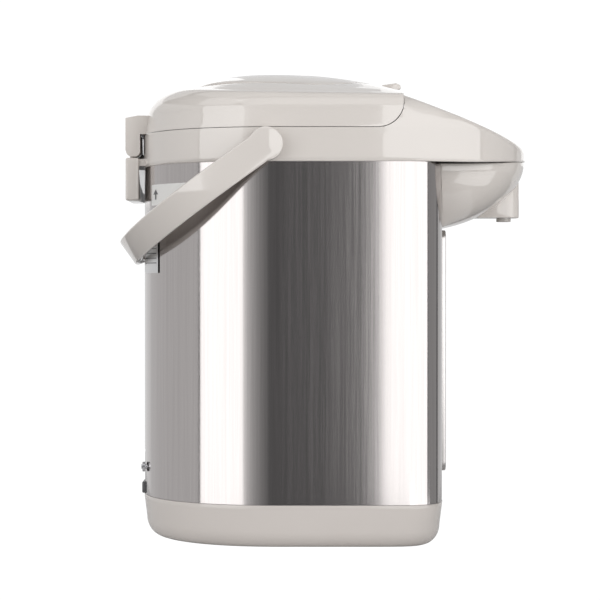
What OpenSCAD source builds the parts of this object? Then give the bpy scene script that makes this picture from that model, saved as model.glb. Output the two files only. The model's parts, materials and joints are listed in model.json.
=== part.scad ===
// Electric thermo pot: steel body, plastic base, shoulder and spout head, hinged lid with a hand pump,
// bail handle.
// Millimetres. The spout points along +X, Z is up, and the floor is at Z = 0.

/* [Body] */
// Half of the body's width
half_w = 104; // [96:1:112]
// Reach of the body behind the axis
rear_reach = 101.5; // [97:0.5:108]
// Reach of the body in front of the axis
front_reach = 103; // [101:0.5:109]
// Height of the plastic base, above the gap under it
base_h = 28.4; // [26:0.5:34]
// Height of the steel wall
shell_h = 223.7; // [215:1:240]
// Thickness of the steel wall
shell_t = 0.8; // [0.5:0.1:1.2]
// Thickness of the plastic mouldings
wall = 2.4; // [1.8:0.1:3]
// How far the steel wall stands back from the mouldings
shell_step = 0.6; // [0.3:0.1:1]
// Visible gap between mouldings
seam = 0.4; // [0.3:0.1:0.6]
// How far the gauge's frame stands in front of the steel
gauge_proud = 5.4; // [3.5:0.1:6]

/* [Base] */
// Gap between the base and the floor
foot_h = 1.5; // [1.2:0.1:2]
// Inset of the base's lower edge
base_inset = 12; // [10:0.5:14]
// Radius of the swivel turntable
turntable_r = 82; // [74:1:84]
// Radius of the turntable's hub
hub_r = 8; // [6:0.5:10]

/* [Shoulder and head] */
// Height of the shoulder ring, up to the lid's seam
shoulder_h = 22.2; // [20:0.2:26]
// Reach of the spout head in front of the axis
head_reach = 162.5; // [156:0.5:166]
// Slope of the operation face, in degrees
panel_tilt = 20.8; // [18:0.2:24]
// Height of the operation face above the lid's seam, at its rear
panel_rise = 21.8; // [20:0.2:24]
// Radius of the mouth that the lid's plug fills
mouth_r = 80.5; // [79:0.1:82]

/* [Lid] */
// Height of the lid's drafted wall
lid_wall_h = 11.7; // [10:0.1:13]
// Draft of the lid's wall, as an inset at its top
lid_draft = 2; // [1:0.1:3]
// Inset of the rounding above the wall
round_in = 22.5; // [18:0.5:24]
// Height of the rounding above the wall
round_up = 18.4; // [16:0.2:20]
// Front end of the lid
lid_front = 75; // [74:0.5:77]
// Radius of the lid's lower front corner, seen from the side
lid_corner = 17; // [12:0.5:18]
// Height of the lid's arched top above its crown
dome_h = 10.6; // [9:0.2:12]
// Stroke of the pump plate
pump_stroke = 12; // [8:0.5:12]

/* [Water container] */
// Inner radius of the container
tank_r = 79; // [74:0.5:79]
// Wall of the container
tank_t = 1; // [0.6:0.1:1.2]
// Clearance of the lid's gasket in the container, which lets the lid swing open
gasket_gap = 1.2; // [1.1:0.1:1.6]
// Radius of the pump's motor
motor_r = 14; // [10:0.5:15]

/* [Spout] */
// Depth of the rounded cover under the head
bowl_h = 41; // [38:0.5:43]
// Half of the rounded cover's width
bowl_w = 80; // [74:1:84]
// How far the nozzle's front stands behind the head's front
nozzle_back = 3.3; // [2.5:0.1:6]
// Half of the nozzle block's width
nozzle_w = 15; // [13:0.5:17]
// Distance from the nozzle's front to the outlet's centre
outlet_back = 10.2; // [9:0.1:12]
// Outer radius of the outlet pipe
pipe_r = 4.4; // [4:0.1:4.8]

/* [Handle] */
// Place of the handle's pivot, in front of the axis
pivot_x = -15; // [-20:1:-8]
// Radius of the round end of each arm
boss_r = 11; // [10:0.2:11]
// Length of the handle from its pivot to its outer face
handle_l = 120; // [120:1:126]
// Width of the handle's strap
strap_w = 19.5; // [16:0.5:21]
// Thickness of the handle's strap
strap_t = 5.5; // [4:0.5:7]
// Angle of the resting handle below the horizontal, in degrees
handle_angle = 35.7; // [32:0.1:38]
// Radius of the handle's pins
handle_pin_r = 4; // [3:0.5:5]

/* [Hinge and lever] */
// Radius of the hinge pin
hinge_pin_r = 2; // [1.5:0.1:2.2]
// Half of the hinge's width
hinge_w = 30; // [26:1:36]
// Radial clearance of a pin that turns
running = 0.05; // [0.02:0.01:0.08]
// Half of the lid lever's width
lever_w = 14; // [11:0.5:16]
// Radius of the round button that dispenses
button_r = 11; // [8:0.5:12]
// Radius of the two small buttons
small_button_r = 6; // [4:0.5:7]
// Clearance round each button
button_gap = 0.4; // [0.3:0.1:0.6]

/* [Hidden] */
$fn = 60;

thin = 0.01;                                  // thickness of a slice that a hull joins
big = 400;
touch = 0.1;                                  // clearance between fixed pieces
free = 0.4;                                   // clearance between pieces that move past each other
z_seam = foot_h + base_h;                     // base to steel
z_shoulder = z_seam + shell_h;                // steel to shoulder
z_lid = z_shoulder + shoulder_h;              // shoulder to lid
z_wall = z_lid + lid_wall_h;                  // top of the lid's wall
rim_in = lid_draft + round_in;                // inset where the rounding ends
z_rim = z_wall + round_up;
crown_in = 10;                                // the crown runs this far in from the rim, to the pump plate
crown_up = 2.1;
z_crown = z_rim + crown_up;
plate_in = rim_in + crown_in;                 // inset of the pump plate's opening

rear_x = -5;                                  // centres of the outline's rear and front ovals
front_x = 40;
head_x = 60;
rear_n = 2.2;                                 // squareness of each oval, where 2 is an ellipse
front_n = 6.2;
head_n = 2.5;

tank_x = -8;                                  // the container stands a little behind the axis
tank_z = foot_h + 66.5;
tank_top = z_lid - 15.3;
deck_t = wall;
plug_r = mouth_r - 4.5;
plug_z = z_lid - 23.8;
riser_x = front_reach - 12;
pump_x = 40;                                  // the motor pump stands under the container's outlet
pivot_z = z_shoulder + shoulder_h / 2;
hinge_x = -rear_reach - 6.5;                  // axis of the lid's hinge
hinge_z = z_lid - 10.7;
hinge_back = hinge_x - 4.4;                   // rear face of both hinge blocks
knuckle_r = 4.1;
panel_x = 80.6;                               // where the operation face has its stated height
panel_z = z_lid + panel_rise - 2.1;
panel_t = 1.6;
panel_u0 = 6;                                 // ends and half width of the operation sheet, along the slope
panel_u1 = (head_reach - 34 - panel_x) / cos(panel_tilt);
panel_w = 44;
panel_round = 8;

function spow(v, e) = sign(v) * pow(abs(v), e);

// Outline made of two half ovals with straight sides between them, drawn inset from its full size
function oval(rx, ra, rn, fx, fa, fn, b, inset, steps = 60) =
    [for (i = [0 : steps - 1]) let (t = (i + 0.5) * 360 / steps, f = cos(t) > 0, n = f ? fn : rn)
        [(f ? fx + (fa - inset) * spow(cos(t), 2 / n) : rx + (ra - inset) * spow(cos(t), 2 / n)),
            (b - inset) * spow(sin(t), 2 / n)]];
function body_plan(inset) =
    oval(rear_x, rear_reach + rear_x, rear_n, front_x, front_reach - front_x, front_n, half_w, inset);
function head_plan(inset) =
    oval(rear_x, rear_reach + rear_x, rear_n, head_x, head_reach - head_x, head_n, half_w, inset);
module slab(points, z, h) translate([0, 0, z]) linear_extrude(h) polygon(points);
module tube(r, ri, z, h) translate([0, 0, z]) difference() {
    cylinder(r = r, h = h);
    translate([0, 0, -1]) cylinder(r = ri, h = h + 2);
}
module block(x0, x1, y, z0, z1) translate([x0, -y, z0]) cube([x1 - x0, 2 * y, z1 - z0]);
// A rod along Y, w to each side of the middle
module rod_y(x, z, r, w) translate([x, w, z]) rotate([90, 0, 0]) cylinder(r = r, h = 2 * w);
module both_sides() for (m = [0, 1]) mirror([0, m, 0]) children();

// Levels of the upper mouldings' common form: height and inset
rounding = [for (a = [0, 22, 42, 62, 90])
    [z_wall + round_up * sin(a), lid_draft + round_in * (1 - cos(a))]];
form_levels = concat([[z_shoulder, 0], [z_lid + 0.2, 0]], rounding,
    [[z_crown - 0.6, rim_in + 6], [z_crown, plate_in], [z_crown + dome_h + 3, plate_in]]);

// The shoulder, head and lid together, inset all round and lowered by t
module upper_form(t) for (i = [0 : len(form_levels) - 2]) hull() {
    slab(head_plan(form_levels[i][1] + t), form_levels[i][0] - t, thin);
    slab(head_plan(form_levels[i + 1][1] + t), form_levels[i + 1][0] - t, thin);
}

// The lid's arched top: it falls away from a summit over the rear oval's centre, behind it only down
// to the crown, and less steeply sideways towards the front
arch_rear = rear_reach + rear_x - plate_in + 0.7;
arch_front = 76;
arch_side = half_w - plate_in;
arch_steps = 64;
function arch_spread(x) = 1 - 0.58 * pow(min(max((x - 10) / (lid_front - 10), 0), 1), 1.5);
function arch_plan(q, t) =
    let (f = sqrt(1 - q), rear = q < 0 ? rear_reach : arch_rear * pow(1 - q, 1 / 3))
    [for (p = oval(rear_x, rear - t, rear_n, rear_x, arch_front * f - t, 2, arch_side * f - t, 0, arch_steps))
        [p[0], p[1] / sqrt(arch_spread(p[0]))]];
arch_levels = [-3, -2, -1.2, -0.55, -0.02, 0.02, 0.2, 0.4, 0.58, 0.74, 0.87, 0.95, 0.99, 0.999];
module arch(t) for (i = [0 : len(arch_levels) - 2]) hull() {
    slab(arch_plan(arch_levels[i], t), z_crown + dome_h * arch_levels[i] - t, thin);
    slab(arch_plan(arch_levels[i + 1], t), z_crown + dome_h * arch_levels[i + 1] - t, thin);
}

// What lies above the sloping operation face, lowered by t
module above_panel(t) translate([panel_x, 0, panel_z - t]) rotate([0, panel_tilt, 0])
    translate([-30, -big / 2, 0]) cube([big, big, big]);
module on_panel() translate([panel_x, 0, panel_z]) rotate([0, panel_tilt, 0]) children();

// The side view of the space that belongs to the lid, grown by g and open above
module lid_zone(g) rotate([90, 0, 0]) linear_extrude(big, center = true) difference() {
    translate([-big, z_lid - g]) square([big + lid_front + g, big]);
    translate([lid_front + g - lid_corner, z_lid - g]) difference() {
        translate([0, -1]) square([lid_corner + 1, lid_corner + 1]);
        translate([0, lid_corner]) circle(r = lid_corner);
    }
}

/* Base */
base_levels = [for (a = [0, 30, 55, 75, 90])
    [foot_h + 12.5 * (1 - cos(a)), base_inset - (base_inset - 2.2) * sin(a)]];

module base_form(t) {
    for (i = [0 : len(base_levels) - 2]) hull() {
        slab(body_plan(base_levels[i][1] + t), base_levels[i][0] + t, thin);
        slab(body_plan(base_levels[i + 1][1] + t), base_levels[i + 1][0] + t, thin);
    }
    hull() {
        slab(body_plan(2.2 + t), foot_h + 12.5 + t, thin);
        slab(body_plan(shell_step / 2 + t), z_seam - thin + t, thin);
    }
}

module base_housing() color("#cfc9c2") difference() {
    base_form(0);
    base_form(wall);
    translate([0, 0, -1]) cylinder(r = turntable_r + 3, h = 10);
    block(-rear_reach - 5, -rear_reach + 8, socket_w + touch, socket_z - touch, z_seam + 1);
}

plate_z = foot_h + wall;
module bottom_plate() color("#8d8d8f") difference() {
    union() {
        slab(body_plan(base_inset + wall + 1), plate_z, 2.5);
        translate([0, 0, plate_z]) cylinder(r = hub_r + 5, h = 12);
    }
    translate([0, 0, plate_z - 1]) cylinder(r = hub_r + running, h = 14);
    for (p = base_screw_places) translate([p[0], p[1], plate_z - 1]) cylinder(r = 1.6, h = 6);
}

base_screw_places = [for (a = [45, 135, 225, 315]) [70 * cos(a), 70 * sin(a)]];
module base_screws() color("#b5b5b8") for (p = base_screw_places) translate([p[0], p[1], 0]) {
    translate([0, 0, plate_z + 2.5]) cylinder(r = 3, h = 1.6);
    translate([0, 0, plate_z]) cylinder(r = 1.5, h = 3);
}

module turntable() color("#6f6f72") {
    translate([0, 0, 1]) cylinder(r = turntable_r, h = 2.4);
    translate([0, 0, 1]) cylinder(r = hub_r, h = plate_z + 9);
}
module rubber_ring() color("#3a3a3c") tube(turntable_r - 4, turntable_r - 12, 0, 1);

/* Steel wall with the gauge */
gauge_w = 17;
window_w = gauge_w - 10;                      // half width of the frame's opening
gauge_z0 = z_seam + 14.7;
gauge_z1 = z_shoulder - bowl_h - 1.6;
shell_x = front_reach - shell_step;

module outer_shell() color("#b9b9bb") difference() {
    slab(body_plan(shell_step), z_seam, shell_h);
    slab(body_plan(shell_step + shell_t), z_seam - 1, shell_h + 2);
    block(shell_x - 10, shell_x + 5, gauge_w - 9, gauge_z0 + 9, gauge_z1 - 9);
    block(-rear_reach - 5, -rear_reach + 8, socket_w + touch, z_seam - 1, socket_z1 + touch);
    for (y = [-1, 1]) translate([-rear_reach + 10, y * screw_y, screw_z]) rotate([0, -90, 0])
        cylinder(r = 1.7, h = 20);
}

module gauge_frame() color("#a9a8a8") difference() {
    block(shell_x + touch, shell_x + gauge_proud, gauge_w, gauge_z0, gauge_z1);
    block(shell_x - 1, shell_x + 6, window_w, gauge_z0 + 10, gauge_z1 - 10);
}
module gauge_window() color("#dfe6e8") block(shell_x + 0.8, shell_x + gauge_proud - 1,
    window_w - touch, gauge_z0 + 10 + touch, gauge_z1 - 10 - touch);

/* Water path */
riser_r = 5;
elbow_z = foot_h + 44.5;
riser_z0 = elbow_z + 12;
riser_z1 = z_shoulder - 42;
run_z = z_shoulder + 4.9;                     // height of the level run through the head
bend_r = 12;

module gauge_tube() color("#dfe6e8") translate([riser_x, 0, 0])
    tube(riser_r, riser_r - 1, riser_z0, riser_z1 - riser_z0);

module pipe_bend(r, ri) rotate_extrude(angle = 90) translate([bend_r, 0]) difference() {
    circle(r = r);
    circle(r = ri);
}
// A bend that rises from its foot at the origin and leaves along +X
module rising_bend(r, ri) translate([bend_r, 0, 0]) rotate([90, 0, 180]) mirror([0, 0, 1]) pipe_bend(r, ri);
module level_run(r, ri, x0, x1, z) translate([x0, 0, z]) rotate([0, 90, 0]) tube(r, ri, 0, x1 - x0);

module outlet_pipe() color("#d8d8d6") {
    translate([riser_x, 0, 0]) tube(pipe_r, pipe_r - 1.2, riser_z1, run_z - bend_r - riser_z1);
    translate([riser_x, 0, run_z - bend_r]) rising_bend(pipe_r, pipe_r - 1.2);
    level_run(pipe_r, pipe_r - 1.2, riser_x + bend_r, outlet_x - bend_r, run_z);
    translate([outlet_x, 0, run_z - bend_r]) mirror([1, 0, 0]) rising_bend(pipe_r, pipe_r - 1.2);
    translate([outlet_x, 0, 0]) tube(pipe_r, pipe_r - 1.2, nozzle_z - 0.5, run_z - bend_r - nozzle_z + 0.5);
}
module lower_elbow() color("#d8d8d6") {
    translate([riser_x, 0, elbow_z + bend_r]) mirror([1, 0, 0]) rotate([180, 0, 0])
        rising_bend(riser_r, riser_r - 1.2);
    level_run(riser_r, riser_r - 1.2, pump_x + pump_r, riser_x - bend_r, elbow_z);
}

pump_r = 21;
pump_z0 = elbow_z - 7;
pump_h = 14;
stub_r = 5;
module pump_housing() color("#e4e2dc") difference() {
    translate([pump_x, 0, pump_z0]) {
        cylinder(r = pump_r, h = pump_h);
        cylinder(r = stub_r, h = pump_h + 4);
    }
    translate([pump_x, 0, pump_z0 + 2]) cylinder(r = pump_r - 3, h = pump_h - 4);
    translate([pump_x, 0, pump_z0 - 1]) cylinder(r = 1.5 + running, h = 5);
    translate([pump_x, 0, pump_z0 + 5]) cylinder(r = stub_r - 1.5, h = pump_h + 4);
    translate([pump_x, 0, elbow_z]) rotate([0, 90, 0]) cylinder(r = riser_r - 1.2, h = pump_r + 2);
}
module pump_motor() color("#9a9a9d") difference() {
    translate([pump_x, 0, plate_z + 2.5]) cylinder(r = motor_r, h = pump_z0 - plate_z - 2.5);
    translate([pump_x, 0, pump_z0 - 16]) cylinder(r = 1.5 + running, h = 17);
}
module impeller() color("#e9e4d4") {
    translate([pump_x, 0, pump_z0 - 15]) cylinder(r = 1.5, h = 22);
    translate([pump_x, 0, pump_z0 + 3]) cylinder(r = pump_r - 7, h = 2);
    for (a = [0 : 60 : 300]) translate([pump_x, 0, pump_z0 + 5]) rotate([0, 0, a])
        translate([3, -0.8, 0]) cube([pump_r - 10.5, 1.6, 4]);
}
module suction_hose() color("#d8d0c4") translate([pump_x, 0, 0])
    tube(stub_r + 2, stub_r, pump_z0 + pump_h + 0.3, tank_z - pump_z0 - pump_h - 0.6);

module inner_container() color("#c4c4c6") difference() {
    union() {
        translate([tank_x, 0, tank_z]) cylinder(r = tank_r + tank_t, h = tank_top - tank_z);
        translate([tank_x, 0, tank_top - 1]) cylinder(r = tank_r + 9, h = 1);
        translate([pump_x, 0, tank_z - 7]) cylinder(r = stub_r, h = 8);
    }
    translate([tank_x, 0, tank_z + tank_t]) cylinder(r = tank_r, h = tank_top - tank_z);
    translate([pump_x, 0, tank_z - 8]) cylinder(r = stub_r - 1, h = 12);
}
module container_seal() color("#e6e2da") translate([tank_x, 0, 0]) tube(tank_r + 8, tank_r + 2, tank_top, 2);
module band_heater() color("#a58a5c") translate([tank_x, 0, 0])
    tube(tank_r + tank_t + 2, tank_r + tank_t + touch, tank_z + 22, 40);
module heat_shield() color("#cfd0d2") translate([tank_x, 0, 0])
    tube(tank_r + 7.6, tank_r + 7, tank_z + 8, tank_top - tank_z - 12);
module boil_heater() color("#8b8b8e") difference() {
    translate([tank_x, 0, tank_z - 3.5]) cylinder(r = tank_r - 23, h = 3.4);
    translate([pump_x, 0, tank_z - 5]) cylinder(r = stub_r + 3.5, h = 6);
}
module thermostat() color("#c9b48a") translate([tank_x, 0, tank_z - 9]) {
    cylinder(r = 8, h = 5.4);
    for (y = [-4, 4]) translate([-0.4, y - 1.5, -5]) cube([0.8, 3, 5]);
}
module container_support() color("#9c9c9f") {
    translate([tank_x, 0, 0]) tube(tank_r - 3, tank_r - 11, tank_z - 3, 2.9);
    for (a = [60, 180, 300]) translate([tank_x + (tank_r - 7) * cos(a), (tank_r - 7) * sin(a), plate_z + 2.5])
        cylinder(r = 3.5, h = tank_z - plate_z - 4.5);
}
module power_board() color("#3f6b45") {
    translate([-74, -36, plate_z + 8]) cube([60, 72, 1.6]);
    translate([-66, -28, plate_z + 9.6]) cube([20, 24, 16]);
    translate([-66, 6, plate_z + 9.6]) cube([16, 14, 12]);
    for (x = [-36, -24]) translate([x, 16, plate_z + 9.6]) cylinder(r = 5, h = 14);
    for (x = [-70, -18], y = [-32, 32]) translate([x, y, plate_z + 2.5]) cylinder(r = 2, h = 5.5);
}

/* Power inlet and rear screws */
socket_w = 22;
socket_z = z_seam;
socket_z1 = z_seam + 30;
screw_y = 30;
screw_z = z_seam + 19;
module inlet_socket() color("#77777a") difference() {
    union() {
        block(-rear_reach + 1.9, -rear_reach + 14, socket_w, socket_z, socket_z1);
        block(-rear_reach - 0.3, -rear_reach + 4, socket_w, socket_z, socket_z + 8);
    }
    block(-rear_reach - 3, -rear_reach + 10, socket_w - 8, socket_z + 11, socket_z1 - 4);
    for (y = [-5, 5]) translate([-rear_reach + 9, y, socket_z + 18.5]) rotate([0, 90, 0])
        cylinder(r = 1.5, h = 8);
}
module socket_pins() color("#c9a24a") for (y = [-5, 5])
    translate([-rear_reach + 6, y, socket_z + 18.5]) rotate([0, 90, 0]) cylinder(r = 1.5, h = 9);
module rear_screws() color("#bdbdc0") for (y = [-1, 1])
    translate([-rear_reach + 10, y * screw_y, screw_z]) rotate([0, -90, 0]) {
        cylinder(r = 1.6, h = 10);
        translate([0, 0, 7.4]) cylinder(r = 3.4, h = 1.8);
    }

/* Shoulder and head */
module shoulder_cover() color("#d4cfca") difference() {
    union() {
        difference() {
            upper_form(0);
            above_panel(0);
            lid_zone(0);
            difference() {
                upper_form(wall);
                above_panel(wall * 1.2);
                lid_zone(wall);
            }
        }
        translate([tank_x, 0, 0]) tube(mouth_r + 2.4, mouth_r - 1, tank_top + 2, z_lid - tank_top - 3);
    }
    translate([tank_x, 0, z_shoulder]) cylinder(r = mouth_r, h = shoulder_h + 1);
    both_sides() translate([pivot_x, half_w - 8, pivot_z]) rotate([-90, 0, 0])
        cylinder(r = bush_r + 0.3, h = 20);
    block(-rear_reach - 4, -rear_reach + 6, hinge_w - 2 + touch, bracket_z0 - touch, bracket_z1 + touch);
    on_panel() panel_outline(touch, -1, 20);
    on_panel() for (b = buttons) translate([b[0], b[1], -12]) cylinder(r = b[2] + button_gap, h = 20);
    on_panel() translate([display_u, 0, 0]) block(-6 - touch, 6 + touch, 12 + touch, -12, 20);
    block(lid_front - 1, lid_front + wall + touch, lever_w, latch_z - 3, big);
}

// Operation face: u runs down the slope
buttons = [[panel_u1 - 14, 0, button_r], [16, -26, small_button_r], [16, 26, small_button_r]];
display_u = 16;
module panel_outline(g, z, h) translate([0, 0, z]) linear_extrude(h) {
    translate([panel_u0 + panel_round, -panel_w - g])
        square([panel_u1 - panel_u0 - 2 * panel_round, 2 * (panel_w + g)]);
    translate([panel_u0 - g, -panel_w + panel_round])
        square([panel_u1 - panel_u0 + 2 * g, 2 * (panel_w - panel_round)]);
    for (u = [panel_u0 + panel_round, panel_u1 - panel_round], y = [-1, 1])
        translate([u, y * (panel_w - panel_round)]) circle(r = panel_round + g);
}
module control_panel() color("#dedad6") on_panel() difference() {
    panel_outline(0, -1, panel_t);
    for (b = buttons) translate([b[0], b[1], -2]) cylinder(r = b[2] + button_gap, h = 6);
    translate([display_u, 0, 0]) block(-6 - touch, 6 + touch, 12 + touch, -2, 4);
}
module display_window() color("#5e6a66") on_panel() translate([display_u, 0, 0]) block(-6, 6, 12, -3, 0.4);

// A button stands in the panel and has a flange under the head's wall
module button(i) on_panel() translate([buttons[i][0], buttons[i][1], 0]) {
    translate([0, 0, -7]) cylinder(r = buttons[i][2], h = 8.2);
    translate([0, 0, -8]) cylinder(r = buttons[i][2] + 1.6, h = 1.6);
}
module dispense_button() color("#c6c2be") button(0);
module unlock_button() color("#c6c2be") button(1);
module reboil_button() color("#c6c2be") button(2);
module control_board() color("#3f6b45") on_panel() {
    translate([4, -38, -14]) cube([panel_u1 - 5, 76, 1.6]);
    for (b = buttons) translate([b[0] - 3, b[1] - 3, -12.4]) cube([6, 6, 1.8]);
}

/* Spout */
nozzle_reach = head_reach - nozzle_back;
outlet_x = nozzle_reach - outlet_back;
nozzle_l = 30;                                // the block runs this far back, into the rounded cover
nozzle_round = 10;
nozzle_h = 26;
nozzle_t = 2;
nozzle_z = z_shoulder - 34;
bowl_x = front_reach - 1.5;
bowl_top = z_shoulder - 0.8;
bowl_l = head_reach - 0.3 - bowl_x;
bowl_levels = [for (u = [0, 0.2, 0.4, 0.58, 0.74, 0.87, 0.95, 0.985])
    [bowl_top - bowl_h * u, bowl_l * pow(1 - pow(u, 1.7), 0.62), bowl_w * sqrt(1 - 0.62 * u * u)]];
function bowl_plan(l, t) = oval(bowl_x, 8, 8, bowl_x, l[1] - t, 2.5, l[2] - t, 0);

module bowl_form(t) for (i = [0 : len(bowl_levels) - 2]) hull() {
    slab(bowl_plan(bowl_levels[i], t), bowl_levels[i][0] + (t > 0 ? t : 0), thin);
    slab(bowl_plan(bowl_levels[i + 1], t), bowl_levels[i + 1][0] + (t > 0 ? t : 0), thin);
}
module spout_cover() color("#cdc7c1") difference() {
    union() {
        bowl_form(0);
        slab(bowl_plan(bowl_levels[0], 1.6), bowl_top - 3, z_shoulder - bowl_top + 3);
    }
    difference() {
        bowl_form(wall);
        block(front_reach - 20, front_reach + wall, half_w, 0, z_shoulder);
    }
    slab(bowl_plan(bowl_levels[0], wall + 1.2), bowl_top - wall - 1, big);
    slab(body_plan(shell_step - touch), 0, big);
    nozzle_outline(touch, nozzle_z - 5, big);
}

module nozzle_outline(g, z, h) translate([0, 0, z]) linear_extrude(h) {
    translate([nozzle_reach - nozzle_l, -nozzle_w - g])
        square([nozzle_l - nozzle_round, 2 * nozzle_w + 2 * g]);
    translate([nozzle_reach - nozzle_l, -nozzle_w + nozzle_round])
        square([nozzle_l + g, 2 * nozzle_w - 2 * nozzle_round]);
    for (y = [-1, 1]) translate([nozzle_reach - nozzle_round, y * (nozzle_w - nozzle_round)])
        circle(r = nozzle_round + g);
}
module nozzle_block() color("#cbc5bf") difference() {
    nozzle_outline(0, nozzle_z, nozzle_h);
    difference() {
        nozzle_outline(-nozzle_t, nozzle_z + nozzle_t, nozzle_h);
        block(nozzle_reach - nozzle_l - 1, nozzle_reach - nozzle_l + nozzle_t, nozzle_w + 1, 0, big);
    }
    translate([outlet_x, 0, nozzle_z - 1]) cylinder(r = pipe_r + 0.75, h = nozzle_t + 4);
}
module outlet_tip() color("#bfb9b3") translate([outlet_x, 0, 0])
    tube(pipe_r + 0.65, pipe_r + 0.05, nozzle_z - 2.5, 8);

/* Rear hinge */
bracket_z0 = z_shoulder + 1;
bracket_top = hinge_z - knuckle_r - 0.8;
bracket_z1 = bracket_top - 0.8;
tongue_w = 12;
module hinge_bracket() color("#cfc9c4") difference() {
    union() {
        block(hinge_back, -rear_reach - 1.8, hinge_w, z_shoulder - 22.6, bracket_top);
        block(-rear_reach - 4, -rear_reach + 5, hinge_w - 2, bracket_z0, bracket_z1);
        block(hinge_x - 2.6, hinge_x + 2.6, tongue_w, bracket_top - 1, hinge_z);
        rod_y(hinge_x, hinge_z, knuckle_r - 0.4, tongue_w);
    }
    rod_y(hinge_x, hinge_z, hinge_pin_r + running, big / 2);
}
module hinge_pin() color("#b0b0b4") rod_y(hinge_x, hinge_z, hinge_pin_r, hinge_w - 3);
block_top = z_lid + 13.2;
module lid_hinge_block() color("#d2ccc7") difference() {
    union() {
        block(hinge_back, -rear_reach - 2, hinge_w, hinge_z, block_top);
        block(hinge_x, -rear_reach - 2.4, hinge_w, hinge_z - knuckle_r, hinge_z + 1);
        rod_y(hinge_x, hinge_z, knuckle_r, hinge_w);
        block(-rear_reach - 3, -rear_reach + 7, hinge_w, z_lid + seam, block_top);
    }
    block(hinge_back - 1, hinge_x + 5.4, tongue_w + free, hinge_z - 10, hinge_z + knuckle_r + 0.6);
    rod_y(hinge_x, hinge_z, hinge_pin_r, hinge_w - 3);
}

/* Lid */
module lid_cover() color("#d6d1cc") difference() {
    union() {
        difference() {
            intersection() {
                upper_form(0);
                arch(0);
                lid_zone(-seam);
            }
            intersection() {
                upper_form(wall);
                arch(wall);
                union() {
                    lid_zone(-seam - wall);
                    translate([-big, -big / 2, 0]) cube([big + liner_x, big, big]);
                }
            }
        }
        block(lever_x0 - 3, lever_x + lug_t, lever_w + lug_t + free, z_crown - lug_h, z_crown - 1);
        block(lever_x, lid_front - 2, lever_w + lug_t, z_crown - lug_h, z_crown - 4);
    }
    slab(plate_plan(-free, -free), z_rim - 10, 50);
    block(lever_x0 - lever_clear, lid_front + 1, lever_w + free, lever_pit, z_crown + 20);
    block(-rear_reach - 1, -rear_reach + 7 + touch, hinge_w + touch, z_lid, block_top + touch);
    block(lid_front - 6, lid_front + 1, latch_w + free, latch_z - latch_t - free, latch_z + latch_t + free);
    rod_y(lever_x, lever_pin_z, lever_pin_r, lever_w + lug_t);
}
liner_x = lid_front - lid_corner - 8;
module lid_liner() color("#c9c5c0") intersection() {
    slab(head_plan(wall + 1.3), z_lid + seam, 2.4);
    translate([-rear_reach + 7.5, -half_w, 0]) cube([liner_x + rear_reach - 7.7, 2 * half_w, big]);
}
module inner_lid() color("#c4c4c6") translate([tank_x, 0, 0]) difference() {
    translate([0, 0, plug_z]) cylinder(r = plug_r, h = z_lid + seam - plug_z);
    translate([0, 0, plug_z + 1.5]) cylinder(r = plug_r - 1.5, h = 40);
    translate([20, 0, plug_z - 1]) cylinder(r = 5, h = 4);
}
module lid_gasket() color("#e8e4dc") translate([tank_x, 0, 0])
    tube(tank_r - gasket_gap, plug_r, plug_z + 3, 4);
module steam_cap() color("#dcdad4") translate([tank_x + 20, 0, 0]) {
    translate([0, 0, plug_z - 2]) cylinder(r = 9, h = 2);
    translate([0, 0, plug_z]) cylinder(r = 5, h = 5);
}

// Pump plate: the middle of the arched top
plate_gap = 0.6;
plate_t = 2;
function plate_plan(inset, cut) = oval(rear_x, rear_reach + rear_x - plate_in - inset, rear_n,
    5, lever_x0 - 7.4 - cut, 2.4, half_w - plate_in - inset, 0, 56);
module pump_plate() color("#dad6d1") {
    difference() {
        intersection() {
            arch(0);
            slab(plate_plan(plate_gap, plate_gap), z_rim - 7, 50);
        }
        intersection() {
            arch(plate_t);
            slab(plate_plan(plate_gap + plate_t, plate_gap + plate_t), 0, big);
        }
    }
    translate([tank_x, 0, bellows_z1]) cylinder(r = 24, h = z_crown + dome_h - plate_t - bellows_z1);
}
bellows_z0 = z_lid + seam + 2.4;
bellows_z1 = z_rim - 2;
folds = 5;
module bellows() color("#e0dcd2") translate([tank_x, 0, bellows_z0]) {
    pitch = (bellows_z1 - bellows_z0 - 2) / folds;
    rotate_extrude() polygon(concat(
        [for (i = [0 : folds]) each [[36, 1 + i * pitch], if (i < folds) [30, 1 + (i + 0.5) * pitch]]],
        [for (i = [folds : -1 : 0]) each [[34.5, 1 + i * pitch], if (i > 0) [28.5, 1 + (i - 0.5) * pitch]]]));
    tube(36, 26, 0, 1.2);
    tube(36, 26, bellows_z1 - bellows_z0 - 1.2, 1.2);
}
// Closed helix of round wire, as rings of points swept along it
turns = 5;
wire_r = 0.9;
spring_r = 16;
spring_h = bellows_z1 - bellows_z0 - 2 * wire_r;
ring_n = 8;
function spring_ring(a, z) = [for (b = [0 : 45 : 315]) let (r = spring_r + wire_r * cos(b))
    [r * cos(a), r * sin(a), z + wire_r * sin(b)]];
module pump_spring() color("#bcbcc0") translate([tank_x, 0, bellows_z0]) {
    n = turns * 16;
    ends = [[for (k = [0 : ring_n - 1]) k], [for (k = [ring_n - 1 : -1 : 0]) n * ring_n + k]];
    sides = [for (i = [0 : n - 1], k = [0 : ring_n - 1])
        let (a = i * ring_n, b = a + ring_n, m = (k + 1) % ring_n) [a + k, b + k, b + m, a + m]];
    polyhedron(points = [for (i = [0 : n]) each spring_ring(i * 22.5, wire_r + i * spring_h / n)],
        faces = concat(ends, sides));
}

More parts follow.
